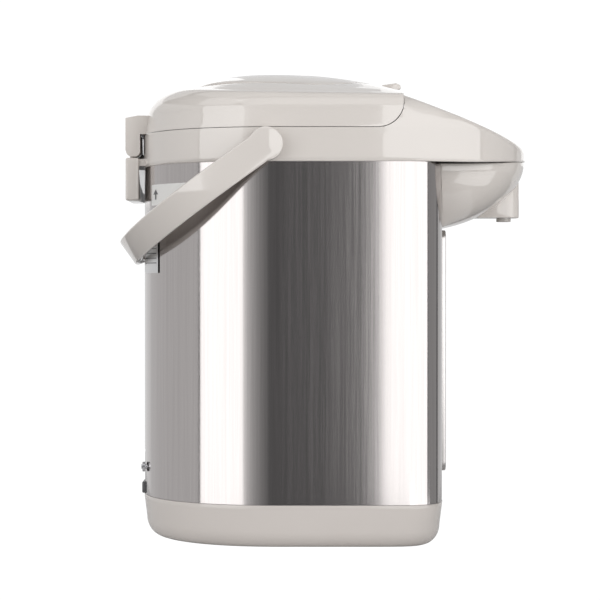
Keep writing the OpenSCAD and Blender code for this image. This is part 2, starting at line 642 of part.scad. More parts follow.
/* Lid lever and latch */
lever_x0 = lid_front - 12.6;
lever_x = lever_x0 + 2.8;                     // axis of the lever's pin
lever_deep = 3.6;                             // depth of the lever's recess in the lid's crown
lever_up = 4.7;                               // how far the lever stands above the crown
lever_swing = 1.6;                            // room under the lever for its rear edge to dip
lever_clear = 1.3;                            // room behind it for the same
lever_pit = z_crown - lever_deep - lever_swing;
lever_pin_r = 1.2;
lever_pin_z = z_crown - 1.6;
lug_t = 4;                                    // thickness of the lugs that hold the pin
lug_h = 8;
latch_z = z_lid + 15;
latch_t = 1.6;                                // half of the latch plate's thickness
latch_bite = 1.6;                             // reach of its tooth into the head
latch_l = 11;
latch_w = lever_w - 2;
module lid_lever() color("#cfcac5") difference() {
    translate([0, 0, z_crown]) rotate([90, 0, 0]) linear_extrude(2 * lever_w, center = true) polygon([
        [lever_x0 + 0.5, -lever_deep], [lid_front - 3, -lever_deep], [lid_front - 1.6, -0.4],
        [lid_front + 1.8, 0.8], [lid_front + 1.4, 3.2], [lid_front - 1.4, lever_up],
        [lever_x0 + 1.6, 3.3], [lever_x0 + 0.5, 2.2]]);
    rod_y(lever_x, lever_pin_z, lever_pin_r + running, big / 2);
}
module lever_pin() color("#b0b0b4") rod_y(lever_x, lever_pin_z, lever_pin_r, lever_w + lug_t);
module lid_latch() color("#b9b5b0")
    block(lid_front - latch_l, lid_front + latch_bite, latch_w, latch_z - latch_t, latch_z + latch_t);

/* Handle */
bush_r = handle_pin_r + 4;
strap_in = half_w + 3;
strap_out = strap_in + strap_t;
arm_x = 30;
bow_n = 2.1;
function u_half(a, b) = concat([[0, -b]],
    [for (i = [0 : 36]) let (t = -90 + i * 5)
        [arm_x + a * spow(cos(t), 2 / bow_n), b * spow(sin(t), 2 / bow_n)]],
    [[0, b]]);
module at_pivot() translate([pivot_x, 0, pivot_z]) rotate([0, 180 - handle_angle, 0]) children();
module handle() color("#d0c9c4") difference() {
    union() {
        at_pivot() linear_extrude(strap_w, center = true) difference() {
            polygon(u_half(handle_l - arm_x, strap_out));
            translate([-1, 0]) polygon(u_half(handle_l - arm_x - strap_t, strap_in));
        }
        both_sides() translate([pivot_x, half_w + 1, pivot_z]) rotate([-90, 0, 0])
            cylinder(r = boss_r, h = strap_out - half_w - 1);
    }
    both_sides() translate([pivot_x, half_w, pivot_z]) rotate([-90, 0, 0])
        cylinder(r = handle_pin_r, h = strap_out - half_w - 2);
}
module handle_pins() color("#b0b0b4") both_sides() translate([pivot_x, half_w - 10, pivot_z])
    rotate([-90, 0, 0]) cylinder(r = handle_pin_r, h = strap_out - half_w + 8);
module pivot_bushes() color("#c8c2bd") both_sides() translate([pivot_x, half_w - 11, pivot_z])
    rotate([-90, 0, 0]) {
        tube(bush_r, handle_pin_r + running, 0, 11.5);
        tube(shoulder_h / 2 - wall - touch, handle_pin_r + running, 0, 10.9 - wall - 2);
    }

base_housing();
bottom_plate();
turntable();
rubber_ring();
outer_shell();
gauge_frame();
gauge_window();
gauge_tube();
shoulder_cover();
control_panel();
display_window();
dispense_button();
unlock_button();
reboil_button();
control_board();
spout_cover();
nozzle_block();
outlet_tip();
outlet_pipe();
lower_elbow();
suction_hose();
pump_housing();
pump_motor();
impeller();
inner_container();
container_seal();
band_heater();
boil_heater();
thermostat();
heat_shield();
container_support();
power_board();
inlet_socket();
socket_pins();
base_screws();
rear_screws();
hinge_bracket();
hinge_pin();
lid_hinge_block();
lid_cover();
lid_liner();
inner_lid();
lid_gasket();
steam_cap();
bellows();
pump_spring();
pump_plate();
lid_lever();
lever_pin();
lid_latch();
handle();
handle_pins();
pivot_bushes();
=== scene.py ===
"""Electric thermo pot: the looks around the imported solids, with its studio.

Metres, with the spout along +X, Z up and the floor at Z = 0. Sizes in the classes are in millimetres,
as in the part's source, and MM turns them into metres.
"""

from __future__ import annotations

import json
import logging
import math
from collections.abc import Callable, Iterable, Sequence
from dataclasses import dataclass
from enum import Enum
from functools import cache
from typing import Any

import bmesh
import bpy
from mathutils import Matrix, Vector

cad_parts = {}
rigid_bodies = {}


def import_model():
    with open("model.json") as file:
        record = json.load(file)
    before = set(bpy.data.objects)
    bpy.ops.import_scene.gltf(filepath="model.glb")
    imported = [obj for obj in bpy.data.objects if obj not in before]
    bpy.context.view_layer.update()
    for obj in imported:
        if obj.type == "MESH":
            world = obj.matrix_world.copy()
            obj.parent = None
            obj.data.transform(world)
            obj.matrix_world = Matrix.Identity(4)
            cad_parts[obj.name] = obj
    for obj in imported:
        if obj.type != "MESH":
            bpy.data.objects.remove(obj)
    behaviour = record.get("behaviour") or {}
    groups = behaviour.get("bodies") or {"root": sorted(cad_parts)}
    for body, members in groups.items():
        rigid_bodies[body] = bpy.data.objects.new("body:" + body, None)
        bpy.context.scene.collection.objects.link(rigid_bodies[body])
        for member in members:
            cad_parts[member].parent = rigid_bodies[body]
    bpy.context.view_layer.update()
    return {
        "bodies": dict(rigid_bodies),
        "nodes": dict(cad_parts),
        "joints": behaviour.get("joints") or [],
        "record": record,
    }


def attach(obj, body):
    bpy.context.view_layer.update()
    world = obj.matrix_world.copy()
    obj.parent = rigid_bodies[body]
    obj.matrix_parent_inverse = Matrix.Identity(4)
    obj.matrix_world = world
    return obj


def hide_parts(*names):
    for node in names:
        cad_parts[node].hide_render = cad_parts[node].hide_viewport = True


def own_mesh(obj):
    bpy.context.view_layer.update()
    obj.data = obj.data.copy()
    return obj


MM = 0.001
# Points of a plan before it is divided into even steps
DENSE = 1440
LOG = logging.getLogger("thermo_pot")
Colour = tuple[float, float, float]


class Body(Enum):
    """The moving bodies that pieces ride on."""

    POT = "pot"
    LID = "lid"
    PUMP_PLATE = "pump_plate"
    LEVER = "lid_lever"
    HANDLE = "handle"
    DISPENSE = "dispense_button"
    UNLOCK = "unlock_button"
    REBOIL = "reboil_button"


# ---------------------------------------------------------------------------------------------------------
# Shader building
# ---------------------------------------------------------------------------------------------------------


@dataclass
class Socket:
    """An output socket that takes part in arithmetic by adding Math nodes."""

    shader: "Shader"
    out: Any

    def _math(self, operation: str, *values: Any) -> "Socket":
        """Adds one Math node.

        Args:
            operation: The Math node's operation.
            values: Its inputs in order.

        Returns:
            The node's result.
        """
        return self.shader.node("ShaderNodeMath", {"operation": operation}, dict(enumerate(values)))

    def __add__(self, other: Any) -> "Socket":
        """Sum."""
        return self._math("ADD", self, other)

    def __mul__(self, other: Any) -> "Socket":
        """Product."""
        return self._math("MULTIPLY", self, other)


class Shader:
    """One material's node tree, with the Principled surface at its end."""

    def __init__(self, name: str) -> None:
        """Makes an empty material.

        Args:
            name: The material's name.
        """
        self.material = bpy.data.materials.new(name)
        self.material.use_nodes = True
        self.tree = self.material.node_tree
        self.surface = self.tree.nodes["Principled BSDF"]

    def node(self, kind: str, settings: dict[str, Any], inputs: dict[Any, Any], out: Any = 0) -> Socket:
        """Adds a node.

        Args:
            kind: The node's type.
            settings: Properties set first.
            inputs: Values or sockets by input name or index.
            out: The output that is returned, by name or index.

        Returns:
            The chosen output.
        """
        made = self.tree.nodes.new(kind)
        for key, value in settings.items():
            setattr(made, key, value)
        for key, value in inputs.items():
            self._feed(made.inputs[key], value)
        return Socket(self, made.outputs[out])

    def _feed(self, socket: Any, value: Any) -> None:
        """Links or sets one input socket."""
        if isinstance(value, Socket):
            self.tree.links.new(value.out, socket)
        elif isinstance(value, tuple) and len(value) == 3 and socket.type == "RGBA":
            socket.default_value = (*value, 1.0)
        else:
            socket.default_value = value

    def place(self, scale: Sequence[float] = (1.0, 1.0, 1.0)) -> Socket:
        """Object coordinates, scaled along each axis."""
        coordinates = self.node("ShaderNodeTexCoord", {}, {}, "Object")
        return self.node("ShaderNodeMapping", {}, {"Vector": coordinates, "Scale": tuple(scale)})

    def noise(self, scale: float, detail: float = 3.0, stretch: Sequence[float] = (1.0, 1.0, 1.0)) -> Socket:
        """Noise value on Object coordinates.

        Args:
            scale: Features per metre.
            detail: Octaves.
            stretch: Extra scale along each axis.

        Returns:
            The noise factor.
        """
        return self.node(
            "ShaderNodeTexNoise", {}, {"Vector": self.place(stretch), "Scale": scale, "Detail": detail}
        )

    def blend(self, factor: Socket, low: Colour, high: Colour) -> Socket:
        """A colour between low and high by factor."""
        inputs = {0: factor, 6: (*low, 1.0), 7: (*high, 1.0)}
        return self.node("ShaderNodeMix", {"data_type": "RGBA"}, inputs, 2)

    def span(self, value: Socket, low: float, high: float, to_low: float, to_high: float) -> Socket:
        """Value carried from one range to another, held within it."""
        return self.node(
            "ShaderNodeMapRange",
            {},
            {"Value": value, "From Min": low, "From Max": high, "To Min": to_low, "To Max": to_high},
        )

    def relief(self, height: Socket, depth: float, strength: float = 1.0) -> None:
        """Feeds a Bump of the given depth in metres into the surface's normal."""
        inputs = {"Height": height, "Distance": depth, "Strength": strength}
        bump = self.node("ShaderNodeBump", {}, inputs, "Normal")
        self.surface_set(Normal=bump)

    def surface_set(self, **sockets: Any) -> None:
        """Sets or links the surface's sockets, with underscores for spaces."""
        for key, value in sockets.items():
            self._feed(self.surface.inputs[key.replace("_", " ")], value)


def white_to_camera(tree: bpy.types.NodeTree, white: Any, other: Any, end: Any) -> None:
    """Makes the camera see one shader and every other ray another.

    Args:
        tree: The node tree.
        white: The shader's output that the camera sees.
        other: The shader's output for all other rays.
        end: The input that takes the result.
    """
    path = tree.nodes.new("ShaderNodeLightPath")
    mix = tree.nodes.new("ShaderNodeMixShader")
    tree.links.new(path.outputs["Is Camera Ray"], mix.inputs[0])
    tree.links.new(other, mix.inputs[1])
    tree.links.new(white, mix.inputs[2])
    tree.links.new(mix.outputs[0], end)


@dataclass(frozen=True)
class Moulding:
    """Glossy or satin moulded plastic with faint flow marks."""

    name: str
    colour: Colour
    rough: float = 0.12
    shade: float = 0.94
    grain: float = 0.0
    ior: float = 1.5

    def build(self) -> bpy.types.Material:
        """The material."""
        shader = Shader(self.name)
        cloud = shader.noise(9.0, 2.0)
        low = tuple(c * self.shade for c in self.colour)
        shader.surface_set(
            Base_Color=shader.blend(shader.span(cloud, 0.35, 0.65, 0, 1), low, self.colour),
            Roughness=shader.span(shader.noise(160.0, 4.0), 0.3, 0.7, self.rough * 0.88, self.rough * 1.12),
        )
        shader.surface.inputs["IOR"].default_value = self.ior
        if self.grain > 0:
            shader.relief(shader.noise(2600.0, 2.0), self.grain * MM, 0.6)
        return shader.material


@dataclass(frozen=True)
class BrushedSteel:
    """Steel sheet brushed along one direction."""

    name: str
    colour: Colour
    rough: float
    stretch: tuple[float, float, float] = (1.0, 1.0, 0.004)
    depth: float = 0.004

    def build(self) -> bpy.types.Material:
        """The material."""
        shader = Shader(self.name)
        fine = shader.noise(2200.0, 2.0, self.stretch)
        broad = shader.noise(420.0, 3.0, self.stretch)
        streak = shader.span(fine * 0.6 + broad * 0.4, 0.36, 0.64, 0, 1)
        low = tuple(c * 0.9 for c in self.colour)
        shader.surface_set(
            Base_Color=shader.blend(streak, low, self.colour),
            Roughness=shader.span(streak, 0, 1, self.rough * 0.88, self.rough * 1.15),
            Metallic=1.0,
        )
        shader.relief(streak, self.depth * MM, 0.5)
        return shader.material


@dataclass(frozen=True)
class PlainMetal:
    """Turned or plated metal with a faint grain."""

    name: str
    colour: Colour
    rough: float = 0.25

    def build(self) -> bpy.types.Material:
        """The material."""
        shader = Shader(self.name)
        grain = shader.noise(700.0, 3.0)
        low = tuple(c * 0.86 for c in self.colour)
        shader.surface_set(
            Base_Color=shader.blend(shader.span(grain, 0.3, 0.7, 0, 1), low, self.colour),
            Roughness=shader.span(grain, 0.3, 0.7, self.rough * 0.8, self.rough * 1.25),
            Metallic=1.0,
        )
        return shader.material


@dataclass(frozen=True)
class Soft:
    """Rubber, silicone, board or wrapped heater: matt, with a fine tooth."""

    name: str
    colour: Colour
    rough: float = 0.6
    tooth: float = 0.02
    scale: float = 900.0

    def build(self) -> bpy.types.Material:
        """The material."""
        shader = Shader(self.name)
        tooth = shader.noise(self.scale, 3.0)
        low = tuple(c * 0.8 for c in self.colour)
        shader.surface_set(
            Base_Color=shader.blend(shader.span(tooth, 0.3, 0.7, 0, 1), low, self.colour),
            Roughness=shader.span(tooth, 0.3, 0.7, self.rough * 0.9, min(1.0, self.rough * 1.1)),
        )
        shader.relief(tooth, self.tooth * MM, 0.5)
        return shader.material


@dataclass(frozen=True)
class Clear:
    """Clear or frosted plastic that lets light through."""

    name: str
    colour: Colour
    rough: float = 0.05

    def build(self) -> bpy.types.Material:
        """The material."""
        shader = Shader(self.name)
        haze = shader.noise(60.0, 2.0)
        shader.surface_set(
            Base_Color=self.colour, Roughness=shader.span(haze, 0.3, 0.7, self.rough * 0.7, self.rough * 1.3)
        )
        shader.surface.inputs["Transmission Weight"].default_value = 0.9
        shader.surface.inputs["IOR"].default_value = 1.45
        return shader.material


class Finishes:
    """All the finishes, made once and found by name."""

    SPECS = (
        Moulding("shell_plastic", (0.68, 0.638, 0.6), 0.05, shade=0.98, ior=1.7),
        Moulding("base_plastic", (0.575, 0.535, 0.505), 0.10, shade=0.975),
        Moulding("button_plastic", (0.56, 0.53, 0.50), 0.22),
        Moulding("panel_sheet", (0.68, 0.65, 0.62), 0.28, shade=0.97, grain=0.01),
        Moulding("display_face", (0.035, 0.045, 0.043), 0.06),
        Moulding("dark_moulding", (0.10, 0.10, 0.105), 0.42, shade=0.85, grain=0.02),
        Moulding("pump_moulding", (0.74, 0.72, 0.68), 0.35),
        BrushedSteel("brushed_shell", (0.5, 0.473, 0.465), 0.10, stretch=(1.0, 1.0, 0.006), depth=0.0006),
        BrushedSteel("tank_steel", (0.66, 0.66, 0.67), 0.3, stretch=(0.02, 0.02, 1.0)),
        BrushedSteel("silver_trim", (0.60, 0.58, 0.57), 0.28),
        PlainMetal("plated_steel", (0.62, 0.62, 0.64), 0.22),
        PlainMetal("contact_brass", (0.72, 0.52, 0.22), 0.25),
        Soft("foot_rubber", (0.05, 0.05, 0.052)),
        Soft("silicone", (0.72, 0.69, 0.63), 0.38, tooth=0.008),
        Soft("board_green", (0.03, 0.12, 0.05), 0.5, tooth=0.01),
        Soft("heater_wrap", (0.30, 0.22, 0.12), 0.7, tooth=0.06, scale=500.0),
        Soft("gap_shadow", (0.02, 0.018, 0.017), 0.8),
        Moulding("label_paper", (0.78, 0.77, 0.75), 0.35),
        BrushedSteel("rating_plate", (0.72, 0.72, 0.72), 0.34, stretch=(1.0, 1.0, 0.3)),
        Clear("gauge_clear", (0.92, 0.96, 0.98)),
    )

    def __init__(self) -> None:
        """Builds every finish."""
        self.made = {spec.name: spec.build() for spec in self.SPECS}

    def __getitem__(self, name: str) -> bpy.types.Material:
        """The material of that name."""
        return self.made[name]


# ---------------------------------------------------------------------------------------------------------
# Outlines and mesh building
# ---------------------------------------------------------------------------------------------------------


def signed_power(value: float, exponent: float) -> float:
    """Value's size raised to exponent, with its sign kept."""
    return math.copysign(abs(value) ** exponent, value)


def even_steps(points: Sequence[tuple[float, float]], count: int) -> list[tuple[int, float]]:
    """Places at even steps of length along a path.

    Args:
        points: The path's points.
        count: How many places there are.

    Returns:
        For each place, the number of the point before it and the share of the way to the next.
    """
    run = [0.0]
    for a, b in zip(points, points[1:]):
        run.append(run[-1] + math.dist(a, b))
    places, k = [], 0
    for i in range(count):
        want = (i + 0.5) / count * run[-1]
        while run[k + 1] < want:
            k += 1
        places.append((k, (want - run[k]) / max(run[k + 1] - run[k], 1e-9)))
    return places


@dataclass(frozen=True)
class Outline:
    """A plan made of two half ovals with straight sides between them, in millimetres."""

    rear_x: float
    rear_a: float
    rear_n: float
    front_x: float
    front_a: float
    front_n: float
    half_w: float

    def point(self, turn: float, inset: float) -> tuple[float, float]:
        """A point of the plan.

        Args:
            turn: Place round the plan, 0 at the front and 0.5 at the rear.
            inset: Distance that the plan is drawn in.

        Returns:
            X and Y in millimetres.
        """
        angle = turn * 2 * math.pi
        c, s = math.cos(angle), math.sin(angle)
        ahead = c > 0
        n = self.front_n if ahead else self.rear_n
        if ahead:
            x = self.front_x + (self.front_a - inset) * signed_power(c, 2 / n)
        else:
            x = self.rear_x + (self.rear_a - inset) * signed_power(c, 2 / n)
        return x, (self.half_w - inset) * signed_power(s, 2 / n)

    def ring(self, z: float, inset: float, count: int) -> list[Vector]:
        """Points at even steps round the plan at height z, in metres."""
        dense = [self.point(i / DENSE, inset) for i in range(DENSE + 1)]
        ring = []
        for k, part in even_steps(dense, count):
            x = dense[k][0] + (dense[k + 1][0] - dense[k][0]) * part
            y = dense[k][1] + (dense[k + 1][1] - dense[k][1]) * part
            ring.append(Vector((x, y, z)) * MM)
        return ring


BODY_PLAN = Outline(-5, 96.5, 2.2, 40, 63, 6.2, 104)
HEAD_PLAN = Outline(-5, 96.5, 2.2, 60, 102.38, 2.5, 104)
PLATE_PLAN = Outline(-5, 62, 2.2, 5, 55, 2.4, 69.5)
Z_FOOT, Z_SEAM, Z_SHOULDER, Z_LID = 1.5, 29.9, 253.6, 275.8
Z_WALL, Z_RIM, Z_CROWN = 287.5, 305.9, 308.0
WALL = 2.4
LID_FRONT, LID_CORNER, LID_GAP = 75.0, 17.0, 0.4
# Places well outside the pot, for cutters
FAR_BACK, FAR_UP, FAR_SIDE = -300.0, 500.0, 150.0


class Piece:
    """A mesh under construction that ends as one object."""

    def __init__(self) -> None:
        """Starts an empty mesh."""
        self.bm = bmesh.new()

    def loft(self, rings: Sequence[Sequence[Vector]], capped: bool = True) -> "Piece":
        """Adds a skin through rings of equal counts.

        Args:
            rings: The rings in order.
            capped: Whether the first and last rings are closed.

        Returns:
            This piece.
        """
        count = len(rings[0])
        verts = bmesh.ops.create_circle(self.bm, segments=count, radius=1.0)["verts"]
        for vert, place in zip(verts, rings[0]):
            vert.co = place
        edges = [self.bm.edges.get((verts[i], verts[(i + 1) % count])) for i in range(count)]
        if capped:
            bmesh.ops.contextual_create(self.bm, geom=edges)
        for ring in rings[1:]:
            made = bmesh.ops.extrude_edge_only(self.bm, edges=edges)["geom"]
            fresh = {v for v in made if isinstance(v, bmesh.types.BMVert)}
            order = {old: i for i, old in enumerate(verts)}
            following: list[Any] = [None] * count
            for vert in fresh:
                for edge in vert.link_edges:
                    old = edge.other_vert(vert)
                    if old in order:
                        following[order[old]] = vert
            verts = following
            for vert, place in zip(verts, ring):
                vert.co = place
            edges = [self.bm.edges.get((verts[i], verts[(i + 1) % count])) for i in range(count)]
        if capped:
            bmesh.ops.contextual_create(self.bm, geom=edges)
        return self

    def turned(
        self, profile: Sequence[tuple[float, float]], centre: Vector, axis: Vector, steps: int = 64
    ) -> "Piece":
        """Adds a full turn of an open or closed profile of (radius, height) pairs in millimetres.

        Args:
            profile: The section, from one end of the axis to the other.
            centre: Where height 0 is on the axis.
            axis: The axis.
            steps: Segments of the turn.

        Returns:
            This piece.
        """
        frame = axis.to_track_quat("Z", "Y").to_matrix()
        rows = [
            [
                centre + frame @ (Vector((r * math.cos(t), r * math.sin(t), h)) * MM)
                for t in (2 * math.pi * (i + 0.5) / steps for i in range(steps))
            ]
            for r, h in profile
        ]
        return self.loft(rows)

    def block(
        self, low: Sequence[float], high: Sequence[float], bevel: float = 0.0, segments: int = 3
    ) -> "Piece":
        """Adds a box between two corners in millimetres, with rounded edges."""
        made = bmesh.ops.create_cube(self.bm, size=1.0)["verts"]
        for vert in made:
            vert.co = Vector([(low[k] if vert.co[k] < 0 else high[k]) * MM for k in range(3)])
        if bevel > 0:
            edges = {e for v in made for e in v.link_edges}
            self._bevel(edges, bevel, segments)
        return self

    def prism(
        self, outline: Sequence[tuple[float, float]], low: float, high: float, frame: Matrix, bevel: float = 0.0,
        segments: int = 3, only_rim: bool = False,
    ) -> "Piece":
        """Adds a flat outline drawn out along its own Z, in millimetres, and placed by frame.

        Args:
            outline: The corners in order.
            low: Where it starts.
            high: Where it ends.
            frame: Its placement, in metres.
            bevel: Rounding of its edges.
            segments: Steps of the rounding.
            only_rim: Rounds only the edges of the two flat faces.

        Returns:
            This piece.
        """
        verts = bmesh.ops.create_circle(self.bm, segments=len(outline), radius=1.0, cap_ends=True)["verts"]
        for vert, (x, y) in zip(verts, outline):
            vert.co = Vector((x, y, low)) * MM
        face = next(f for f in self.bm.faces if set(f.verts) == set(verts))
        made = bmesh.ops.extrude_face_region(self.bm, geom=[face])["geom"]
        top = [v for v in made if isinstance(v, bmesh.types.BMVert)]
        bmesh.ops.translate(self.bm, verts=top, vec=Vector((0, 0, (high - low) * MM)))
        every = list(verts) + top
        if bevel > 0:
            edges = {e for v in every for e in v.link_edges}
            if only_rim:
                edges = {e for e in edges if abs(e.verts[0].co.z - e.verts[1].co.z) < 1e-6}
            made = self._bevel(edges, bevel, segments)
            every = [v for v in [*every, *made] if v.is_valid]
        bmesh.ops.transform(self.bm, matrix=frame, verts=list(set(every)))
        return self

    def _bevel(
        self, edges: Iterable[bmesh.types.BMEdge], width: float, segments: int
    ) -> list[bmesh.types.BMVert]:
        """Rounds edges by a width in millimetres and returns the new corners."""
        return bmesh.ops.bevel(
            self.bm, geom=list(edges), offset=width * MM, affect="EDGES", segments=segments,
            profile=0.5, material=-1,
        )["verts"]

    def mesh(self, name: str, sharp: float = 35.0) -> bpy.types.Object:
        """Ends the mesh as an object with smooth faces and sharp edges over an angle.

        Args:
            name: The object's name.
            sharp: The angle in degrees above which an edge stays sharp.

        Returns:
            The object, at the origin.
        """
        bmesh.ops.remove_doubles(self.bm, verts=self.bm.verts, dist=1e-7)
        bmesh.ops.recalc_face_normals(self.bm, faces=self.bm.faces)
        data = bpy.data.meshes.new(name)
        self.bm.to_mesh(data)
        self.bm.free()
        made = bpy.data.objects.new(name, data)
        bpy.context.scene.collection.objects.link(made)
        smooth(made, sharp)
        return made


def smooth(made: bpy.types.Object, sharp: float = 35.0) -> None:
    """Shades an object smooth, except over edges sharper than an angle in degrees."""
    made.data.shade_smooth()
    made.data.set_sharp_from_angle(angle=math.radians(sharp))


def baked(made: bpy.types.Object) -> None:
    """Replaces an object's mesh by the result of its modifiers."""
    bpy.context.view_layer.update()
    seen = made.evaluated_get(bpy.context.evaluated_depsgraph_get())
    data = bpy.data.meshes.new_from_object(seen)
    made.modifiers.clear()
    made.data = data


def carve(made: bpy.types.Object, cutter: bpy.types.Object, operation: str = "DIFFERENCE") -> bpy.types.Object:
    """Cuts, joins or crosses an object with another, which is used up.

    Args:
        made: The object that is kept.
        cutter: The object that is used up.
        operation: DIFFERENCE, UNION or INTERSECT.

    Returns:
        The kept object.
    """
    tool = made.modifiers.new("carve", "BOOLEAN")
    tool.operation = operation
    tool.solver = "EXACT"
    tool.object = cutter
    baked(made)
    bpy.data.objects.remove(cutter)
    return made


def rounded(made: bpy.types.Object, width: float, angle: float = 40.0, segments: int = 2) -> bpy.types.Object:
    """Rounds an object's sharp edges.

    Args:
        made: The object.
        width: Width of the rounding in millimetres.
        angle: The smallest edge angle that is rounded, in degrees.
        segments: Steps of the rounding.

    Returns:
        The object.
    """
    bevel = made.modifiers.new("edge", "BEVEL")
    bevel.width = width * MM
    bevel.segments = segments
    bevel.limit_method = "ANGLE"
    bevel.angle_limit = math.radians(angle)
    bevel.use_clamp_overlap = True
    bevel.miter_outer = "MITER_ARC"
    bevel.harden_normals = False
    baked(made)
    smooth(made, 50.0)
    return made


@dataclass
class Assembly:
    """What every sub-assembly shares: its finishes and the way its pieces are handed over."""

    finishes: Finishes

    def keep(
        self, made: bpy.types.Object, finish: str, slot: str, body: Body = Body.POT,
        replaces: Iterable[str] = (),
    ) -> bpy.types.Object:
        """Dresses a finished piece and makes it ride.

        Args:
            made: The piece.
            finish: Name of its finish.
            slot: Not used.
            body: The body that it rides on.
            replaces: CAD nodes that it stands for.

        Returns:
            The piece.
        """
        made.data.materials.clear()
        made.data.materials.append(self.finishes[finish])
        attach(made, body.value)
        if replaces:
            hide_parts(*replaces)
        LOG.info("%s: %d faces", made.name, len(made.data.polygons))
        return made


UP = Vector((0, 0, 1))
SIDE = Vector((0, 1, 0))
# A frame whose flat outlines are side views: their X and Y become X and Z, drawn out along -Y
SIDE_VIEW = Matrix.Rotation(math.pi / 2, 4, "X")


def arc(cx: float, cy: float, r: float, start: float, end: float, steps: int) -> list[tuple[float, float]]:
    """Points of an arc between two angles in degrees."""
    turn = [math.radians(start + (end - start) * i / steps) for i in range(steps + 1)]
    return [(cx + r * math.cos(t), cy + r * math.sin(t)) for t in turn]


def soft_rectangle(
    x0: float, x1: float, y0: float, y1: float, r: float, steps: int = 8
) -> list[tuple[float, float]]:
    """A rectangle with round corners, counter-clockwise."""
    return (
        arc(x1 - r, y0 + r, r, -90, 0, steps)
        + arc(x1 - r, y1 - r, r, 0, 90, steps)
        + arc(x0 + r, y1 - r, r, 90, 180, steps)
        + arc(x0 + r, y0 + r, r, 180, 270, steps)
    )


def lid_side(grow: float) -> list[tuple[float, float]]:
    """Side view of the space that belongs to the lid, grown all round, open far above and behind."""
    x, z, r = LID_FRONT + grow, Z_LID - grow, LID_CORNER
    return [(FAR_BACK, z)] + arc(x - r, z + r, r, -90, 0, 16) + [(x, FAR_UP), (FAR_BACK, FAR_UP)]


def across(side: Sequence[tuple[float, float]]) -> bpy.types.Object:
    """A cutter with the given side view, wider than the pot."""
    return Piece().prism(side, -FAR_SIDE, FAR_SIDE, SIDE_VIEW).mesh("cut")


